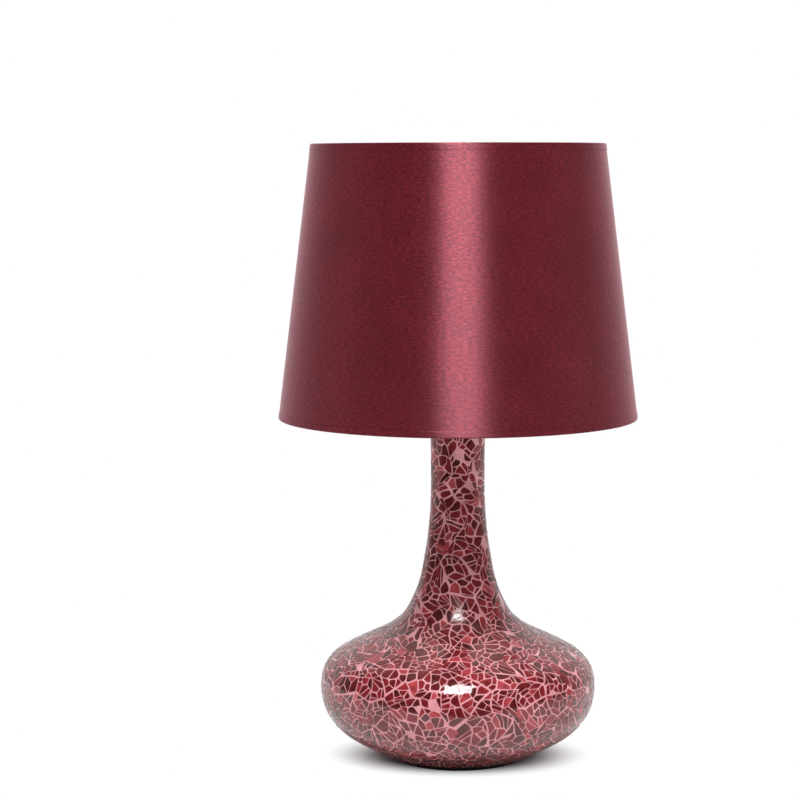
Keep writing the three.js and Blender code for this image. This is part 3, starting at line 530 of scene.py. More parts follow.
# %% Finish: dark red glass under varnish
GLOSSY_BELOW = 0.062
DULL_ABOVE = 0.082
dark_glass, tree, shader = start_material("dark_red_glass", IOR=1.53)
tone_node = add_node(tree, "ShaderNodeAttribute", attribute_name="tone")
tones = add_node(tree, "ShaderNodeSeparateXYZ", {"Vector": tone_node.outputs["Vector"]})
red = add_node(tree, "ShaderNodeValToRGB", {"Fac": tones.outputs["X"]}, stops=[
    (0.0, "#4a0f12"), (0.35, "#5e1519"), (0.7, "#70191e"), (0.9, "#82242a"), (0.97, "#9a363c"),
    (1.0, "#a8464e")])
place = add_node(tree, "ShaderNodeTexCoord")
depth = add_node(tree, "ShaderNodeTexNoise", {
    "Vector": place.outputs["Object"], "Scale": 1 / (3.2 * MM), "Detail": 3.0})
cloud = add_node(tree, "ShaderNodeValToRGB", {"Fac": depth.outputs["Fac"]}, stops=[
    (0.3, "#b9b3b3"), (0.6, "#ffffff")])
clouded = add_node(tree, "ShaderNodeMix", {
    0: 1.0, 6: red.outputs["Color"], 7: cloud.outputs["Color"]}, data_type="RGBA",
    blend_type="MULTIPLY")
tree.links.new(clouded.outputs[2], shader.inputs["Base Color"])
level = add_node(tree, "ShaderNodeSeparateXYZ", {"Vector": place.outputs["Object"]})
dull = add_node(tree, "ShaderNodeMapRange", {
    "Value": level.outputs["Z"], "From Min": GLOSSY_BELOW, "From Max": DULL_ABOVE,
    "To Min": 0.06, "To Max": 0.17}, interpolation_type="SMOOTHSTEP")
tree.links.new(dull.outputs["Result"], shader.inputs["Roughness"])


# %% [markdown]
# The grout is a pink paste, rubbed into the cracks by hand and then varnished with the glass, so
# it is glossy too. It is lighter where it is thick and browner where a thumb left it thin. A fine
# grain, and lumps a few millimetres wide, come from noise sized in millimetres.

# %% Finish: pink grout under varnish
grout_paste, tree, shader = start_material(
    "pink_grout", Roughness=0.5, Specular_IOR_Level=0.1, Coat_Weight=0.8, Coat_IOR=1.5)
place = add_node(tree, "ShaderNodeTexCoord")
patch = add_node(tree, "ShaderNodeTexNoise", {
    "Vector": place.outputs["Object"], "Scale": 1 / (9 * MM), "Detail": 4.0})
pink = add_node(tree, "ShaderNodeValToRGB", {"Fac": patch.outputs["Fac"]}, stops=[
    (0.25, "#aa6c72"), (0.5, "#c08288"), (0.75, "#cc9499")])
tree.links.new(pink.outputs["Color"], shader.inputs["Base Color"])
level = add_node(tree, "ShaderNodeSeparateXYZ", {"Vector": place.outputs["Object"]})
dull = add_node(tree, "ShaderNodeMapRange", {
    "Value": level.outputs["Z"], "From Min": GLOSSY_BELOW, "From Max": DULL_ABOVE,
    "To Min": 0.12, "To Max": 0.22}, interpolation_type="SMOOTHSTEP")
tree.links.new(dull.outputs["Result"], shader.inputs["Coat Roughness"])
grain = add_node(tree, "ShaderNodeTexNoise", {
    "Vector": place.outputs["Object"], "Scale": 1 / (0.7 * MM), "Detail": 2.0})
relief = add_node(tree, "ShaderNodeBump", {
    "Height": grain.outputs["Fac"], "Distance": 0.05 * MM, "Strength": 0.6})
tree.links.new(relief.outputs["Normal"], shader.inputs["Normal"])


# %% [markdown]
# The shards become three meshes: the neck's, the shoulder's and the belly's. The number of
# corners differs from shard to shard, so they are built in batches of the same size and joined.

# %% Place the shards
SHOULDER_FROM = 0.048
NECK_FROM = 0.085
level = shard_point[:, 2]
bands = {"belly_shards": level < SHOULDER_FROM, "neck_shards": level > NECK_FROM}
bands["shoulder_shards"] = ~bands["belly_shards"] & ~bands["neck_shards"]
for name, band in bands.items():
    wanted = kept & band
    points, faces, shard_tones = gather(range(3, 12), wanted)
    shards = make_piece(name, points, faces, "base", dark_glass)
    tone_layer = shards.data.attributes.new("tone", "FLOAT_VECTOR", "POINT")
    tone_layer.data.foreach_set("vector", shard_tones.astype(np.float32).ravel())
    triangles = sum((block.shape[1] - 2) * len(block) for block in faces)
    print(name, int(wanted.sum()), "triangles", triangles)


# %% [markdown]
# The grout is one closed shell under and between the shards. Its outside follows the outline,
# sunk a little below the glass, with a few hundredths of a millimetre of unevenness from a sum
# of waves. A hole lets the flex through at the back.

# %% Build the grout
GROUT_SIDES = 320
GROUT_ROWS = 236
GROUT_SUNK = 0.09 * MM
COAT_THICKNESS = 1.9 * MM
WAVES = 26


def unevenness(along, turn, size):
    """Smooth random relief: a sum of waves with random whole numbers of crests round the skin
    and random wavelengths of 4 to 30 mm along it, scaled to the given root mean square."""
    crests = rng.integers(2, 60, WAVES)
    wave = 2 * np.pi / (rng.uniform(4, 30, WAVES) * MM)
    phase = rng.uniform(0, 2 * np.pi, WAVES)
    grown = np.sin(crests * turn[..., None] + wave * along[..., None] + phase).sum(-1)
    return grown * size / math.sqrt(WAVES / 2)


turns = np.arange(GROUT_SIDES) * 2 * np.pi / GROUT_SIDES
outer_along = np.linspace(0, outline_length, GROUT_ROWS)
inner_along = np.linspace(outline_length, 0, 30)
along = np.r_[outer_along, inner_along][:, None] + 0 * turns
turn = turns[None] + 0 * along
point, normal, _, _ = surface_frame(along, turn)
fade = np.clip(np.minimum(along, outline_length - along) / (3 * MM), 0, 1)
sunk = -GROUT_SUNK + fade * unevenness(along, turn, 0.02 * MM)
sunk[GROUT_ROWS:] = -COAT_THICKNESS
grout_points = (point + normal * sunk[..., None]).reshape(-1, 3)
grout_faces = ring_faces(len(along), GROUT_SIDES, closed_rows=True)
grout = make_piece("grout", grout_points, [grout_faces], "base", grout_paste)
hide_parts("mosaic_coat")
print("grout quads", len(grout_faces))


# %% [markdown]
# The inlet is drilled through the coat at the back, square to its surface. A Boolean modifier
# takes a plain cylinder out of the grout, and its result is then kept as the mesh.

# %% Drill the inlet
def keep_modifiers(piece):
    """Replaces a piece's mesh by what its modifiers make of it, and removes the modifiers."""
    bpy.context.view_layer.update()
    shown = piece.evaluated_get(bpy.context.evaluated_depsgraph_get())
    finished = bpy.data.meshes.new_from_object(shown)
    piece.modifiers.clear()
    piece.data = finished


def tilted(points, centre, axis):
    """Points made about the z axis, moved so that z runs along axis from centre."""
    axis = np.array(axis) / np.linalg.norm(axis)
    side = np.array([1.0, 0, 0])
    across = np.cross(axis, side)
    return centre + points[:, :1] * side + points[:, 1:2] * across + points[:, 2:] * axis


def axis_of(node):
    """The middle of a node's corners, and the axis it was turned round: of the three main
    directions of its corners, the one whose spread is unlike the other two."""
    place = np.array([corner.co for corner in nodes[node].data.vertices])
    middle = np.unique(np.round(place, 6), axis=0).mean(0)
    spread, ways = np.linalg.eigh(np.cov((place - middle).T))
    odd = 0 if spread[1] - spread[0] > spread[2] - spread[1] else 2
    return middle, ways[:, odd] * np.sign(ways[1, odd])


DRILL_RADIUS = 5.75 * MM
DRILL_REACH = 14 * MM
inlet_centre, inlet_axis = axis_of("flex_grommet")
print("inlet axis", np.round(inlet_axis, 3), "centre mm", np.round(inlet_centre / MM, 1))
drill_ends = np.array([[DRILL_RADIUS, -DRILL_REACH], [DRILL_RADIUS, DRILL_REACH],
                       [0, DRILL_REACH], [0, -DRILL_REACH]])
drill_points = tilted(sweep_round(drill_ends, 48), inlet_centre, inlet_axis)
drill = make_piece("drill", drill_points, [ring_faces(4, 48, closed_rows=True)], "base", grout_paste)
close_poles(drill)
bore = grout.modifiers.new("inlet", "BOOLEAN")
bore.operation = "DIFFERENCE"
bore.solver = "EXACT"
bore.object = drill
keep_modifiers(grout)
bpy.data.objects.remove(drill)
print("grout triangles", len(grout.data.loop_triangles) or len(grout.data.polygons))


# %% [markdown]
# Now the shade. Burgundy satin is laminated to a thin plastic sheet, the sheet is rolled into a
# cone and glued where its ends lap at the back, and its edges are turned in over two wire rings.
# So it is one thin closed surface: up the outside, over the top wire, down the inside and under
# the bottom wire. The wires give its radii and levels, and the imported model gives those.

# %% Round the corners of a profile
def rounded(corners, radius, steps=4):
    """A polygon with its corners rounded: each corner gives way to a curve that starts and ends a
    radius from it, or two fifths of the shorter side beside it where that is less. A point just
    outside each end of the curve keeps the flats flat."""
    corners = np.asarray(corners, float)
    before, after = np.roll(corners, 1, axis=0) - corners, np.roll(corners, -1, axis=0) - corners
    back, ahead = np.hypot(*before.T)[:, None], np.hypot(*after.T)[:, None]
    reach = np.minimum(np.broadcast_to(radius, back.shape), 0.4 * np.minimum(back, ahead))
    start, end = corners + before / back * reach, corners + after / ahead * reach
    t = np.linspace(0, 1, steps + 1)[None, :, None]
    curve = (1 - t)**2 * start[:, None] + 2 * t * (1 - t) * corners[:, None] + t**2 * end[:, None]
    hold_in = corners + before / back * reach * 1.25
    hold_out = corners + after / ahead * reach * 1.25
    row = np.concatenate([hold_in[:, None], curve, hold_out[:, None]], axis=1)
    return row.reshape(-1, 2)


# %% The shade's profile, read from the model
SATIN_THICKNESS = 0.6 * MM
HEM_HEIGHT = 3.6 * MM
HEM_STEP = 0.20 * MM
HEM_TURN = 5.0 * MM
HEM_LIP = 2.4 * MM
LAP_STEP = 0.30 * MM
LAP_FADE = 0.5
LAP_EDGE = 0.0012


def reach_at(node, level, slack=0.5 * MM):
    """The largest distance from the axis among a node's corners within slack of a level."""
    mesh = nodes[node].data
    place = np.empty(len(mesh.vertices) * 3)
    mesh.vertices.foreach_get("co", place)
    place = place.reshape(-1, 3)
    near = np.abs(place[:, 2] - level) < slack
    return float(np.hypot(place[near, 0], place[near, 1]).max())


fabric_low, fabric_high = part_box("shade_fabric")
low_z, high_z = fabric_low.z, fabric_high.z
low_r, high_r = reach_at("shade_fabric", low_z), reach_at("shade_fabric", high_z)
lean = (low_r - high_r) / (high_z - low_z)
print("shade radii mm", round(low_r / MM, 1), round(high_r / MM, 1), "lean", round(lean, 4))


def on_cone(level, off):
    """(radius, height) at a level, off metres outside the cone of the cloth's outer face."""
    level = np.asarray(level, float)
    return np.stack([low_r - (level - low_z) * lean + off, level], axis=-1)


in_turn, in_cloth = HEM_TURN, SATIN_THICKNESS
shade_corners = np.array([
    [low_r - in_turn, low_z + HEM_LIP], [low_r - in_turn, low_z], [low_r, low_z],
    on_cone(low_z + HEM_HEIGHT, 0), on_cone(low_z + HEM_HEIGHT + HEM_STEP, -HEM_STEP),
    on_cone(high_z - HEM_HEIGHT - HEM_STEP, -HEM_STEP), on_cone(high_z - HEM_HEIGHT, 0),
    [high_r, high_z], [high_r - in_turn, high_z], [high_r - in_turn, high_z - HEM_LIP],
    [high_r - in_turn + in_cloth, high_z - HEM_LIP], [high_r - in_turn + in_cloth, high_z - in_cloth],
    on_cone(high_z - in_cloth, -HEM_STEP - in_cloth), on_cone(low_z + in_cloth, -HEM_STEP - in_cloth),
    [low_r - in_turn + in_cloth, low_z + in_cloth], [low_r - in_turn + in_cloth, low_z + HEM_LIP]])
shade_profile = rounded(shade_corners, 1.0 * MM)


# %% [markdown]
# Satin is woven so that long threads float on its face, all lying one way. Here they run round
# the shade. A bundle of fine threads mirrors light into a fan square to itself, so the highlight
# is a narrow upright band, however high the light hangs. The shader's anisotropy does that. The
# weave isn't even: slubs a few millimetres long glint or darken, and they come from noise that
# is stretched along the thread. The pattern follows the cloth, so it reads the shade's own UV
# map, which is in metres.

# %% Finish: burgundy satin
satin, tree, shader = start_material(
    "burgundy_satin", Metallic=0.5, IOR=2.2, Specular_IOR_Level=0.5, Anisotropic=1.0,
    Anisotropic_Rotation=0.259, Sheen_Weight=0.12, Sheen_Roughness=0.3)
shader.inputs["Specular Tint"].default_value = linear("#ffc2d2")
shader.inputs["Sheen Tint"].default_value = linear("#d8a8ac")
cloth = add_node(tree, "ShaderNodeUVMap", uv_map="weave")
threads = add_node(tree, "ShaderNodeMapping", {"Vector": cloth.outputs["UV"], "Scale": (0.35, 1, 1)})
slub = add_node(tree, "ShaderNodeTexNoise", {
    "Vector": threads.outputs["Vector"], "Scale": 1 / (0.9 * MM), "Detail": 3.0, "Roughness": 0.6})
dye = add_node(tree, "ShaderNodeTexNoise", {
    "Vector": cloth.outputs["UV"], "Scale": 1 / (30 * MM), "Detail": 2.0})
burgundy = add_node(tree, "ShaderNodeValToRGB", {"Fac": slub.outputs["Fac"]}, stops=[
    (0.28, "#480c12"), (0.5, "#661620"), (0.72, "#8a2432")])
unevenly = add_node(tree, "ShaderNodeValToRGB", {"Fac": dye.outputs["Fac"]}, stops=[
    (0.3, "#e6e6e6"), (0.7, "#ffffff")])
dyed = add_node(tree, "ShaderNodeMix", {
    0: 1.0, 6: burgundy.outputs["Color"], 7: unevenly.outputs["Color"]}, data_type="RGBA",
    blend_type="MULTIPLY")
tree.links.new(dyed.outputs[2], shader.inputs["Base Color"])
lustre = add_node(tree, "ShaderNodeMapRange", {
    "Value": slub.outputs["Fac"], "From Min": 0.3, "From Max": 0.7, "To Min": 0.56, "To Max": 0.42})
tree.links.new(lustre.outputs["Result"], shader.inputs["Roughness"])
round_shade = add_node(tree, "ShaderNodeTangent", direction_type="UV_MAP", uv_map="weave")
tree.links.new(round_shade.outputs["Tangent"], shader.inputs["Tangent"])
weave_relief = add_node(tree, "ShaderNodeBump", {
    "Height": slub.outputs["Fac"], "Distance": 0.06 * MM, "Strength": 0.5})
tree.links.new(weave_relief.outputs["Normal"], shader.inputs["Normal"])


# %% Build the shade
SHADE_COLUMNS = 256


def lap(turn):
    """How far the cloth stands off at each angle: a step at the back, where the sheet's end lies
    over its beginning, which dies away round the next half radian."""
    past = np.mod(turn - np.pi, 2 * np.pi)
    return LAP_STEP * np.clip(1 - past / LAP_FADE, 0, 1) ** 2


def lapped_sweep(profile, turn, stands_off):
    """A profile carried round the z axis, with its radius grown by an amount for each angle."""
    radius = profile[:, :1] + stands_off[None]
    grid = np.stack([radius * np.sin(turn), -radius * np.cos(turn), profile[:, 1:] + 0 * turn], -1)
    return grid.reshape(-1, 3)


def cloth_map(piece, profile, turn, radius):
    """A UV map in metres: u runs round at a mean radius, and v runs along the profile. The last
    column of faces reaches on to the full turn, so nothing runs backwards across the seam."""
    columns = len(turn)
    run = np.r_[0, np.cumsum(np.hypot(*np.diff(profile, axis=0).T))]
    corner = np.empty(len(piece.data.loops), np.int32)
    piece.data.loops.foreach_get("vertex_index", corner)
    row, column = corner // columns, corner % columns
    quads = column.reshape(-1, 4)
    wraps = (quads.max(1) - quads.min(1)) > 1
    turn_of = turn[quads] + 2 * np.pi * (wraps[:, None] & (quads == 0))
    layer = piece.data.uv_layers.new(name="weave")
    across_and_along = np.stack([turn_of.ravel() * radius, run[row]], axis=-1)
    layer.data.foreach_set("uv", across_and_along.astype(np.float32).ravel())


even_turns = np.arange(SHADE_COLUMNS) * 2 * np.pi / SHADE_COLUMNS
shade_turns = np.sort(np.r_[even_turns[even_turns != np.pi], np.pi - LAP_EDGE, np.pi])
shade_points = lapped_sweep(shade_profile, shade_turns, lap(shade_turns))
shade_faces = ring_faces(len(shade_profile), len(shade_turns), closed_rows=True)
shade = make_piece("satin_shade", shade_points, [shade_faces], "shade", satin)
cloth_map(shade, shade_profile, shade_turns, (low_r + high_r) / 2)
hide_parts("shade_fabric")
print("shade quads", len(shade_faces))


# %% [markdown]
# Everything else is turned, bent or moulded, and its exact profile is already in the packed
# model. A turned part there is a ring of flat facets. So its profile is read back from the
# corners that lie in one plane through the axis, its sharp corners are rounded a little, as
# pressed or moulded ones are, and it is turned again in many more steps.

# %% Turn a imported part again, smoothly
def welded(node):
    """A node's corners without repeats, and its edges between them."""
    mesh = nodes[node].data
    place = np.empty(len(mesh.vertices) * 3)
    mesh.vertices.foreach_get("co", place)
    ends = np.empty(len(mesh.edges) * 2, np.int32)
    mesh.edges.foreach_get("vertices", ends)
    place, same = np.unique(np.round(place.reshape(-1, 3), 6), axis=0, return_inverse=True)
    return place, same.ravel()[ends.reshape(-1, 2)]


def profile_of(node, centre=(0, 0, 0), axis=(0, 0, 1), at=0.0):
    """The profiles of a turned node as (radius, height) rows in order, in the half-plane at an
    angle round its axis: the outside first, and then any sealed hollow."""
    place, ends = welded(node)
    axis = normalised(axis)
    side = np.array([1.0, 0, 0])
    rel = place - np.asarray(centre)
    height = rel @ axis
    x, y = rel @ side, rel @ np.cross(axis, side)
    radius = np.hypot(x, y)
    off = np.abs(np.mod(np.arctan2(x, -y) - at + np.pi, 2 * np.pi) - np.pi)
    inside = (off < 2e-3) | (radius < 1e-5)
    links = {}
    for a, b in ends[inside[ends].all(1)].tolist():
        links.setdefault(a, set()).add(b)
        links.setdefault(b, set()).add(a)
    profiles = []
    while links:
        loose = [k for k, near in links.items() if len(near) == 1]
        walk = [loose[0] if loose else next(iter(links))]
        while following := [k for k in links[walk[-1]] if k in links and k not in walk]:
            walk.append(following[0])
        profiles.append(np.stack([radius[walk], height[walk]], axis=-1))
        links = {k: near for k, near in links.items() if k not in walk}
    profiles.sort(key=lambda profile: -profile[:, 0].max())
    return [with_turn(profile, 1 if k == 0 else -1) for k, profile in enumerate(profiles)]


def with_turn(profile, wanted):
    """The profile in the order that runs anticlockwise for 1, or clockwise for -1. A part's
    outside runs anticlockwise, and a sealed hollow in it clockwise."""
    after = np.roll(profile, -1, axis=0)
    turning = (profile[:, 0] * after[:, 1] - after[:, 0] * profile[:, 1]).sum()
    return profile if turning * wanted > 0 else profile[::-1]


def turn_again(node, name, material, body, corner=0.3 * MM, sides=96, centre=(0, 0, 0),
               axis=(0, 0, 1), at=0.0, shape=None):
    """A smooth version of a turned node, standing in for it. Its corners are rounded by corner,
    and shape, if there is one, changes the radius of its points from radius, height and angle."""
    points, faces = np.empty((0, 3)), []
    for profile in profile_of(node, centre, axis, at):
        smooth = rounded(profile, np.where(profile[:, :1] < 1e-5, 0, corner))
        turned = sweep_round(smooth, sides)
        faces.append(ring_faces(len(smooth), sides, closed_rows=True) + len(points))
        points = np.concatenate([points, turned])
    if shape:
        radius = np.hypot(points[:, 0], points[:, 1])
        turn = np.arctan2(points[:, 0], -points[:, 1])
        points[:, :2] *= (shape(radius, points[:, 2], turn) / np.maximum(radius, 1e-9))[:, None]
    if tuple(centre) != (0, 0, 0):
        points = tilted(points, np.asarray(centre, float), axis)
    piece = make_piece(name, points, [np.concatenate(faces)], body, material)
    close_poles(piece)
    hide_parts(node)
    return piece


def round_tube(path, radius, sides=16):
    """Points and faces of a tube round a smooth path with closed ends: a ring of points square
    to the path at each of its points, and a single point at each end."""
    path = np.asarray(path, float)
    ahead = np.gradient(path, axis=0)
    ahead /= np.linalg.norm(ahead, axis=1, keepdims=True)
    side = np.cross(ahead, [0.0, 0.0, 1.0])
    side /= np.linalg.norm(side, axis=1, keepdims=True)
    other = np.cross(ahead, side)
    turn = np.arange(sides) * 2 * np.pi / sides
    ring = side[:, None] * np.cos(turn)[:, None] + other[:, None] * np.sin(turn)[:, None]
    points = np.concatenate([(path[:, None] + radius * ring).reshape(-1, 3), path[[0, -1]]])
    faces = ring_faces(len(path), sides)[:, ::-1]
    here, there = np.arange(sides), (np.arange(sides) + 1) % sides
    last = (len(path) - 1) * sides
    start, end = np.full(sides, len(points) - 2), np.full(sides, len(points) - 1)
    first_cap = np.stack([here, there, start], axis=-1)
    last_cap = np.stack([last + there, last + here, end], axis=-1)
    caps = np.concatenate([first_cap, last_cap])
    return points, [faces, caps]


# %% [markdown]
# The hidden metal and plastic parts show when the shade is lifted off. Each finish below says
# what the real one is: plated, powder coated, moulded, stamped or blown.

# %% Finishes of the fittings
def grained(name, ramp, size_mm, relief_mm, stretch=(1, 1, 1), **sockets):
    """A finish whose colour and relief both follow one noise on Object coordinates: blotches of
    size_mm, coloured by a ramp of (position, hex colour) stops, and relief_mm deep."""
    made, tree, shader = start_material(name, **sockets)
    place = add_node(tree, "ShaderNodeTexCoord")
    mapped = add_node(tree, "ShaderNodeMapping", {"Vector": place.outputs["Object"], "Scale": stretch})
    noise = add_node(tree, "ShaderNodeTexNoise", {
        "Vector": mapped.outputs["Vector"], "Scale": 1 / (size_mm * MM), "Detail": 3.0})
    colour = add_node(tree, "ShaderNodeValToRGB", {"Fac": noise.outputs["Fac"]}, stops=ramp)
    tree.links.new(colour.outputs["Color"], shader.inputs["Base Color"])
    relief = add_node(tree, "ShaderNodeBump", {
        "Height": noise.outputs["Fac"], "Distance": relief_mm * MM, "Strength": 0.7})
    tree.links.new(relief.outputs["Normal"], shader.inputs["Normal"])
    return made


# Wool felt, pressed: matt, with short matted hairs.
felt = grained("black_wool_felt", [(0.3, "#211f1f"), (0.7, "#403c3b")], 0.5, 0.12, (1, 1, 3),
               Roughness=0.95, Sheen_Weight=0.3)
# Steel plate under semi-gloss black paint, with a slight orange peel.
black_paint = grained("black_painted_steel", [(0.3, "#101011"), (0.7, "#1a1a1b")], 1.5, 0.02,
                      Roughness=0.35, Coat_Weight=0.3)
# Moulded rubber: matt, a little dusty.
rubber = grained("moulded_black_rubber", [(0.3, "#151414"), (0.7, "#211f1f")], 0.8, 0.03, Roughness=0.7)
# Zinc plate on turned steel: bright, with fine marks round it from turning.
zinc = grained("zinc_plated_steel", [(0.3, "#9a9ea3"), (0.7, "#bcc0c4")], 0.8, 0.01, (1, 1, 6),
               Metallic=1.0, Roughness=0.32)
# Phenolic plastic, moulded black: satin, faintly marbled.
phenolic = grained("moulded_black_phenolic", [(0.3, "#12100f"), (0.7, "#1d1a18")], 4.0, 0.015,
                   Roughness=0.38)
# Stamped brass strip.
brass = grained("stamped_brass", [(0.3, "#a07c38"), (0.7, "#c09a52")], 1.2, 0.01, Metallic=1.0,
                Roughness=0.3)
# Vulcanised fibre: matt grey-brown board.
fibre = grained("vulcanised_fibre", [(0.3, "#7a6a4e"), (0.7, "#95866a")], 0.9, 0.04, Roughness=0.8)
# Black glass poured round the foot of the bulb's cap.
vitrite = grained("black_vitrite_glass", [(0.3, "#0a0a0b"), (0.7, "#131314")], 2.0, 0.01, Roughness=0.12)
# Rolled aluminium: satin, with fine marks from drawing.
aluminium = grained("rolled_aluminium", [(0.3, "#b4b6b8"), (0.7, "#cdcfd0")], 0.7, 0.01, (1, 1, 5),
                    Metallic=1.0, Roughness=0.3)
# Nickel and tungsten wire: dull grey metal.
dull_wire = grained("drawn_grey_wire", [(0.3, "#5d5a56"), (0.7, "#7a7772")], 0.6, 0.01, Metallic=1.0,
                    Roughness=0.4)
# White powder coat on steel wire: slightly lumpy, satin.
powder_coat = grained("white_powder_coat", [(0.3, "#dcd8d0"), (0.7, "#e9e6df")], 1.2, 0.03,
                      Roughness=0.45)
# White styrene sheet inside the shade: smooth and slightly yellow.
styrene = grained("white_styrene_sheet", [(0.3, "#ece6dc"), (0.7, "#f6f2ea")], 12.0, 0.02, Roughness=0.5)
# Blown glass of the hidden vessel, uncoated inside.
blown = grained("blown_vessel_glass", [(0.3, "#8e5054"), (0.7, "#9f6064")], 15.0, 0.02, Roughness=0.08,
                Transmission_Weight=0.5)
# Clear blown glass of the bulb.
clear_glass, tree, shader = start_material(
    "clear_blown_glass", Roughness=0.02, IOR=1.45, Transmission_Weight=1.0)
place = add_node(tree, "ShaderNodeTexCoord")
seed_noise = add_node(tree, "ShaderNodeTexNoise", {
    "Vector": place.outputs["Object"], "Scale": 1 / (25 * MM), "Detail": 1.0})
tint = add_node(tree, "ShaderNodeValToRGB", {"Fac": seed_noise.outputs["Fac"]}, stops=[
    (0.3, "#f4f7f6"), (0.7, "#ffffff")])
tree.links.new(tint.outputs["Color"], shader.inputs["Base Color"])

stay = {
    "base_washer": zinc, "base_nut": zinc, "threaded_pipe": zinc, "neck_nut": zinc,
    "set_screw": zinc, "holder_screw_1": zinc, "holder_screw_2": zinc, "terminal_screw_neutral": zinc,
    "terminal_screw_live": brass, "centre_contact": brass, "bulb_tip_contact": brass,
    "holder_core": phenolic, "switch_shaft": zinc, "switch_cam": fibre, "insulating_sleeve": fibre,
    "screw_shell": brass, "glass_vessel": blown, "bulb_stem": clear_glass,
    "filament_support_left": dull_wire, "filament_support_right": dull_wire, "filament": dull_wire}
for node, finish in stay.items():
    nodes[node].data.materials.clear()
    nodes[node].data.materials.append(finish)
print("packed parts with a new finish", len(stay))


# %% [markdown]
# The foot is a felt disc under a painted plate, and the neck ends in a pressed cap. The holder is
# two mouldings, and the shade's fitter is clamped between the holder's seat and a black ring.

# %% Turned parts
turn_again("felt_pad", "felt_disc", felt, "base", 0.35 * MM, 128)
turn_again("base_plate", "foot_plate", black_paint, "base", 0.4 * MM, 128)
turn_again("base_gasket", "foot_gasket", rubber, "base", 0.15 * MM, 128)
turn_again("neck_gasket", "neck_washer", rubber, "base", 0.2 * MM)
turn_again("neck_cap", "pressed_neck_cap", black_paint, "base", 0.5 * MM)
turn_again("holder_cup", "holder_lower_moulding", phenolic, "base", 0.6 * MM, at=math.pi / 4)
turn_again("holder_shell", "holder_upper_moulding", phenolic, "base", 0.5 * MM, at=math.pi)
turn_again("bulb_insulator", "cap_vitrite", vitrite, "bulb", 0.3 * MM)
turn_again("bulb_glass", "bulb_envelope", clear_glass, "bulb", 1.0 * MM)
turn_again("fitter_ring", "fitter_washer", powder_coat, "shade", 0.35 * MM)
turn_again("shade_bottom_wire", "bottom_wire", powder_coat, "shade", 0.8 * MM, 192)
turn_again("shade_top_wire", "top_wire", powder_coat, "shade", 0.8 * MM, 192)
turn_again("shade_liner", "styrene_liner", styrene, "shade", 0.15 * MM, 192)
turn_again("flex_grommet", "inlet_grommet", rubber, "base", 0.4 * MM, 64, inlet_centre,
           inlet_axis)


# %% [markdown]
# The black ring that clamps the shade has ribs for the fingers, and the bulb's cap has a rolled
# screw thread. Both are turned shapes with a pattern added to the radius: ribs follow the angle
# alone, and a thread follows the angle and the height together.

# %% Ribbed ring and threaded cap
RIBS = 40
RIB_DEPTH = 0.45 * MM
RING_SIDES = 320
THREAD_PITCH = 3.6 * MM
THREAD_DEPTH = 0.9 * MM
CAP_WALL = 0.3 * MM
CAP_TAPER = 3.2 * MM
CAP_LEVELS = 120
CAP_SIDES = 192
ring_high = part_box("retaining_ring")[1]
cap_low, cap_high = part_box("bulb_cap")


def ribbed(radius, height, turn):
    """Ribs on the outermost millimetre of the ring: half a cosine wave of RIBS crests."""
    outer = np.clip((radius - ring_high.x + 1.2 * MM) / (0.8 * MM), 0, 1)
    return radius - outer * RIB_DEPTH * (0.5 - 0.5 * np.cos(RIBS * turn))


turn_again("retaining_ring", "ribbed_ring", phenolic, "shade_nut", 0.5 * MM,
           RING_SIDES, shape=ribbed)


def cap_shell():
    """The bulb's cap: outside and inside walls a constant thickness apart, with a rounded screw
    thread on the lower two thirds that fades out at both ends."""
    level = np.linspace(cap_low.z, cap_high.z, CAP_LEVELS)
    share = (level - cap_low.z) / (cap_high.z - cap_low.z)
    fade = np.clip(np.minimum(share / 0.12, (0.8 - share) / 0.1), 0, 1)
    taper = np.clip((0.10 - share) / 0.10, 0, 1) ** 2 * CAP_TAPER
    turn = np.arange(CAP_SIDES) * 2 * np.pi / CAP_SIDES
    wave = 0.5 - 0.5 * np.cos(turn[None] - 2 * np.pi * level[:, None] / THREAD_PITCH)
    outer = cap_high.x - taper[:, None] - THREAD_DEPTH * (1 - fade[:, None] * (1 - wave))
    grid = np.concatenate([outer, outer[::-1] - CAP_WALL])
    height = np.concatenate([level, level[::-1]])[:, None] + 0 * turn
    return np.stack([grid * np.sin(turn), -grid * np.cos(turn), height], -1).reshape(-1, 3)


cap_faces = ring_faces(2 * CAP_LEVELS, CAP_SIDES, closed_rows=True)
threaded_cap = make_piece("threaded_cap", cap_shell(), [cap_faces], "bulb", aluminium)
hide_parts("bulb_cap")


# %% [markdown]
# The switch's knob is an oval bar with fine flutes round its grip, so that fingers hold it.
# Its edges are rounded, and a blind hole takes the shaft.

# %% Fluted knob
KNOB_FLUTES = 22
FLUTE_DEPTH = 0.3 * MM
KNOB_EDGE = 1.1 * MM
SOCKET_RADIUS = 1.9 * MM
SOCKET_DEPTH = 8.0 * MM
knob_low, knob_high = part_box("switch_knob")


def knob_rows():
    """Rows of (distance inside the oval's edge, place along x, share of the flutes' depth): a quarter
    round from the edge of the flat face, the grip, and a quarter round to the edge of the far end."""
    edge = np.radians(np.linspace(0, 90, 6))
    rise, set_in = KNOB_EDGE * (1 - np.cos(edge)), KNOB_EDGE * (1 - np.sin(edge))
    grip = np.linspace(knob_low.x + KNOB_EDGE, knob_high.x - KNOB_EDGE, 12)[1:-1]
    inside = np.concatenate([set_in, 0 * grip, set_in[::-1]])
    along = np.concatenate([knob_low.x + rise, grip, knob_high.x - rise[::-1]])
    share = np.clip(np.minimum(along - knob_low.x, knob_high.x - along) / KNOB_EDGE, 0, 1) ** 2
    return np.stack([inside, along, share], axis=-1)


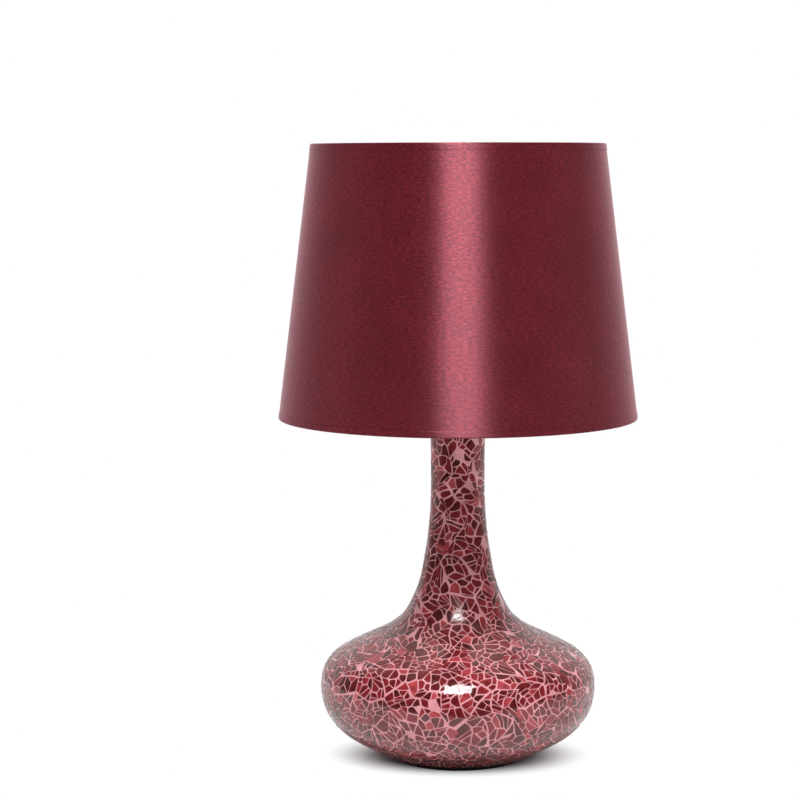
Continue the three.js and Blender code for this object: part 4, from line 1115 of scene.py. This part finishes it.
def knob_points(columns=176):
    """Points of the knob: ovals across the x axis, then the socket's rings before them."""
    turn = np.arange(columns) * 2 * np.pi / columns
    wave = FLUTE_DEPTH * (0.5 - 0.5 * np.cos(KNOB_FLUTES * turn))
    inside, along, share = (column[:, None] for column in knob_rows().T)
    half_y, half_z = (knob_high.y - knob_low.y) / 2, (knob_high.z - knob_low.z) / 2
    radius_y, radius_z = half_y - inside - share * wave, half_z - inside - share * wave
    socket = np.array([[0, SOCKET_DEPTH], [SOCKET_RADIUS, SOCKET_DEPTH], [SOCKET_RADIUS, 0]])
    ends = np.array([[0.0, knob_high.x - knob_low.x]])
    radius_y = np.concatenate([socket[:, :1] + 0 * turn, radius_y, ends[:, :1] + 0 * turn])
    radius_z = np.concatenate([socket[:, :1] + 0 * turn, radius_z, ends[:, :1] + 0 * turn])
    along = np.concatenate([knob_low.x + socket[:, 1:], along, knob_low.x + ends[:, 1:]])
    level = (knob_low.z + knob_high.z) / 2
    grid = [along + 0 * turn, radius_y * np.sin(turn), level - radius_z * np.cos(turn)]
    return np.stack(grid, axis=-1)


knob_grid = knob_points()
knob = make_piece("fluted_knob", knob_grid.reshape(-1, 3), [ring_faces(*knob_grid.shape[:2])], "switch",
                  phenolic)
close_poles(knob)
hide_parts("switch_knob")
print("knob rows and columns", knob_grid.shape[:2])


# %% [markdown]
# Three wire arms carry the shade from its fitter to the bottom wire. Each is a smooth tube along
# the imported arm's own centre line, with a small lump of weld where it meets the wire.

# %% Shade arms
ARM_RADIUS = 1.5 * MM
BEAD_RADIUS = 1.65 * MM
BEAD_FLATNESS = 0.7


def centre_line(node, sides=6):
    """The centre line of a packed wire: the middles of its rings of corners, in order of their
    distance from the axis."""
    place, _ = welded(node)
    order = np.argsort(np.hypot(place[:, 0], place[:, 1]))
    rings = len(place) // sides
    return place[order][:rings * sides].reshape(rings, sides, 3).mean(1)


def weld_bead(centre, radius, seed):
    """A lump of weld: a ball, wider than it is high, with a few random waves in its radius."""
    rows, columns = 9, 16
    up = np.linspace(-np.pi / 2, np.pi / 2, rows)[:, None]
    turn = (np.arange(columns) * 2 * np.pi / columns)[None]
    lumpy = 1 + 0.12 * np.sin(3 * turn + seed) * np.cos(up) + 0.08 * np.sin(4 * up + seed)
    rise = BEAD_FLATNESS * np.sin(up) + 0 * turn
    grid = np.stack([np.cos(up) * np.cos(turn), np.cos(up) * np.sin(turn), rise], axis=-1)
    return (centre + radius * lumpy[..., None] * grid).reshape(-1, 3), ring_faces(rows, columns)


for arm_number in (1, 2, 3):
    node = f"shade_arm_{arm_number}"
    line = centre_line(node)
    steps = np.linspace(0, len(line) - 1, 60)
    path = np.stack([np.interp(steps, np.arange(len(line)), line[:, k]) for k in range(3)], -1)
    for _ in range(12):
        path[1:-1] = (path[:-2] + 2 * path[1:-1] + path[2:]) / 4
    tube_points, tube_faces = round_tube(path, ARM_RADIUS)
    arm = make_piece(f"wire_arm_{arm_number}", tube_points, tube_faces, "shade", powder_coat)
    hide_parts(node)
    for end, name in ((path[1], "inner"), (path[-2], "outer")):
        bead_points, bead_faces = weld_bead(end, BEAD_RADIUS, arm_number)
        bead = make_piece(f"{name}_weld_{arm_number}", bead_points, [bead_faces], "shade", powder_coat)
        close_poles(bead)
print("arms", arm_number, "first arm ends mm", np.round(path[[0, -1]] / MM, 1).tolist())


# %% [markdown]
# The studio is white all round for the camera. What the glossy glass mirrors is another matter:
# white stands behind and beside the lamp, the room behind the camera is dark, and one soft lamp
# hangs high in front. So the world's light depends on direction, and only camera rays see it
# plain white.

# %% Studio: surroundings
world = bpy.data.worlds.new("studio")
bpy.context.scene.world = world
world.use_nodes = True
tree = world.node_tree
surround = tree.nodes["Background"]
way = add_node(tree, "ShaderNodeTexCoord")
axes = add_node(tree, "ShaderNodeSeparateXYZ", {"Vector": way.outputs["Generated"]})
front_to_back = add_node(tree, "ShaderNodeMapRange", {
    "Value": axes.outputs["Y"], "From Min": 0.15, "From Max": 0.85, "To Min": 0.12,
    "To Max": 1.05}, interpolation_type="SMOOTHSTEP")
rays = add_node(tree, "ShaderNodeLightPath")
strength = add_node(tree, "ShaderNodeMix", {
    0: rays.outputs["Is Camera Ray"], 2: front_to_back.outputs["Result"], 3: 1.0})
tree.links.new(strength.outputs[0], surround.inputs["Strength"])
surround.inputs["Color"].default_value = (1, 1, 1, 1)


# %% [markdown]
# One bright lamp hangs in front. It is an oblong of light that leaves a white patch on the
# varnish, and its size and place are the patch's. The others are wide, dim sheets, in front, at
# the sides and behind. They soften the shadows, and they are hidden from glossy rays so that the
# glass stays dark between reflections.

# %% Studio: lights
def soft_lamp(name, radiance, width, height, distance, azimuth, elevation, aim):
    """An area light at a distance from aim, in degrees round and above it from the front. Its
    power follows from radiance: a flat lamp gives pi times its area times its radiance."""
    light = bpy.data.lights.new(name, "AREA")
    light.shape = "RECTANGLE"
    light.size, light.size_y = width, height
    light.energy = math.pi * width * height * radiance
    lamp = bpy.data.objects.new(name, light)
    a, e = math.radians(azimuth), math.radians(elevation)
    way = np.array([math.sin(a) * math.cos(e), -math.cos(a) * math.cos(e), math.sin(e)])
    lamp.location = np.array(aim) + distance * way
    lamp.rotation_euler = (math.pi / 2 - e, 0, a)
    bpy.context.scene.collection.objects.link(lamp)
    return lamp


lamp_middle = (0, 0, 0.18)
soft_lamp("key_softbox", 30, 0.42, 0.57, 1.3, 0, 60, (0, -0.07, 0.06))
fill = soft_lamp("fill_sheet", 0.36, 3.0, 2.2, 2.0, 30, 42, lamp_middle)
fill.visible_glossy = False
left_fill = soft_lamp("left_sheet", 0.52, 1.8, 1.8, 2.0, -75, 40, lamp_middle)
left_fill.visible_glossy = False
right_fill = soft_lamp("right_sheet", 0.64, 1.8, 1.8, 2.0, 75, 40, lamp_middle)
right_fill.visible_glossy = False
back_fill = soft_lamp("back_sheet", 0.8, 3.0, 2.0, 2.0, 180, 40, lamp_middle)
back_fill.visible_glossy = False


# %% [markdown]
# The floor is a sheet of white card. Near the lamp it takes its own shadows, and further off it is
# painted light: for camera rays it glows plain white, which fades its shadow out over an oval. For
# glossy rays it is painted dark from a hand's breadth in front of the lamp, a painted reflection of
# a dark room. It has a round hole under the felt, which hides it from above and is lit through it from
# below.

# %% Studio: floor
floor_mat, tree, shader = start_material("white_card_floor", Roughness=0.9, Specular_IOR_Level=0.1)
place = add_node(tree, "ShaderNodeTexCoord")
oval = add_node(tree, "ShaderNodeVectorMath", {
    0: place.outputs["Object"], 1: (0.9, 1.35, 1.0)}, operation="MULTIPLY")
away = add_node(tree, "ShaderNodeVectorMath", {0: oval.outputs["Vector"]}, operation="LENGTH")
# Painted light: for camera rays the floor glows white from 40 to 74 mm out, fading its real shadow away.
painted_glow_fade = add_node(tree, "ShaderNodeMapRange", {
    "Value": away.outputs["Value"], "From Min": 0.040, "From Max": 0.074},
    interpolation_type="SMOOTHSTEP")
floor_axes = add_node(tree, "ShaderNodeSeparateXYZ", {"Vector": place.outputs["Object"]})
# Painted reflection: from 0.20 to 0.34 m in front, glossy rays see the floor turn dark, as a dark room.
painted_dark_reach = add_node(tree, "ShaderNodeMapRange", {
    "Value": floor_axes.outputs["Y"], "From Min": -0.20, "From Max": -0.34},
    interpolation_type="SMOOTHSTEP")
floor_rays = add_node(tree, "ShaderNodeLightPath")
painted_dark_reflection = add_node(tree, "ShaderNodeMath", {
    0: painted_dark_reach.outputs["Result"], 1: floor_rays.outputs["Is Glossy Ray"]}, operation="MULTIPLY")
# The card's colour, or a painted dark reflection where glossy rays meet it in front.
card = add_node(tree, "ShaderNodeMix", {
    0: painted_dark_reflection.outputs["Value"], 6: linear("#f2f2f2"), 7: linear("#303030")}, data_type="RGBA")
tree.links.new(card.outputs[2], shader.inputs["Base Color"])
# A white emission on the floor that only the camera sees: painted light, not a lamp.
painted_glow = add_node(tree, "ShaderNodeEmission", {"Strength": 1.0})
painted_glow_for_camera = add_node(tree, "ShaderNodeMath", {
    0: painted_glow_fade.outputs["Result"], 1: floor_rays.outputs["Is Camera Ray"]}, operation="MULTIPLY")
blend = add_node(tree, "ShaderNodeMixShader", {
    0: painted_glow_for_camera.outputs["Value"], 1: shader.outputs["BSDF"], 2: painted_glow.outputs["Emission"]})
clear = add_node(tree, "ShaderNodeBsdfTransparent")
underside = add_node(tree, "ShaderNodeNewGeometry")
one_sided = add_node(tree, "ShaderNodeMixShader", {
    0: underside.outputs["Backfacing"], 1: blend.outputs["Shader"], 2: clear.outputs["BSDF"]})
tree.links.new(one_sided.outputs["Shader"], tree.nodes["Material Output"].inputs["Surface"])

FLOOR_REACH = 3.0
FLOOR_BELOW = 0.05 * MM
UNDER_FOOT = 1 * MM
hole_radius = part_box("felt_pad")[1].x - UNDER_FOOT
floor_radii = np.array([FLOOR_REACH, 0.5, 0.1, hole_radius])
floor_mesh = bpy.data.meshes.new("studio_floor")
floor_corners = sweep_round(np.stack([floor_radii, 0 * floor_radii - FLOOR_BELOW], axis=-1), 96)
floor_mesh.from_pydata(floor_corners.tolist(), [], ring_faces(len(floor_radii), 96).tolist())
floor_mesh.materials.append(floor_mat)
floor = bpy.data.objects.new("studio_floor", floor_mesh)
bpy.context.scene.collection.objects.link(floor)

bpy.context.scene.view_settings.view_transform = "Standard"
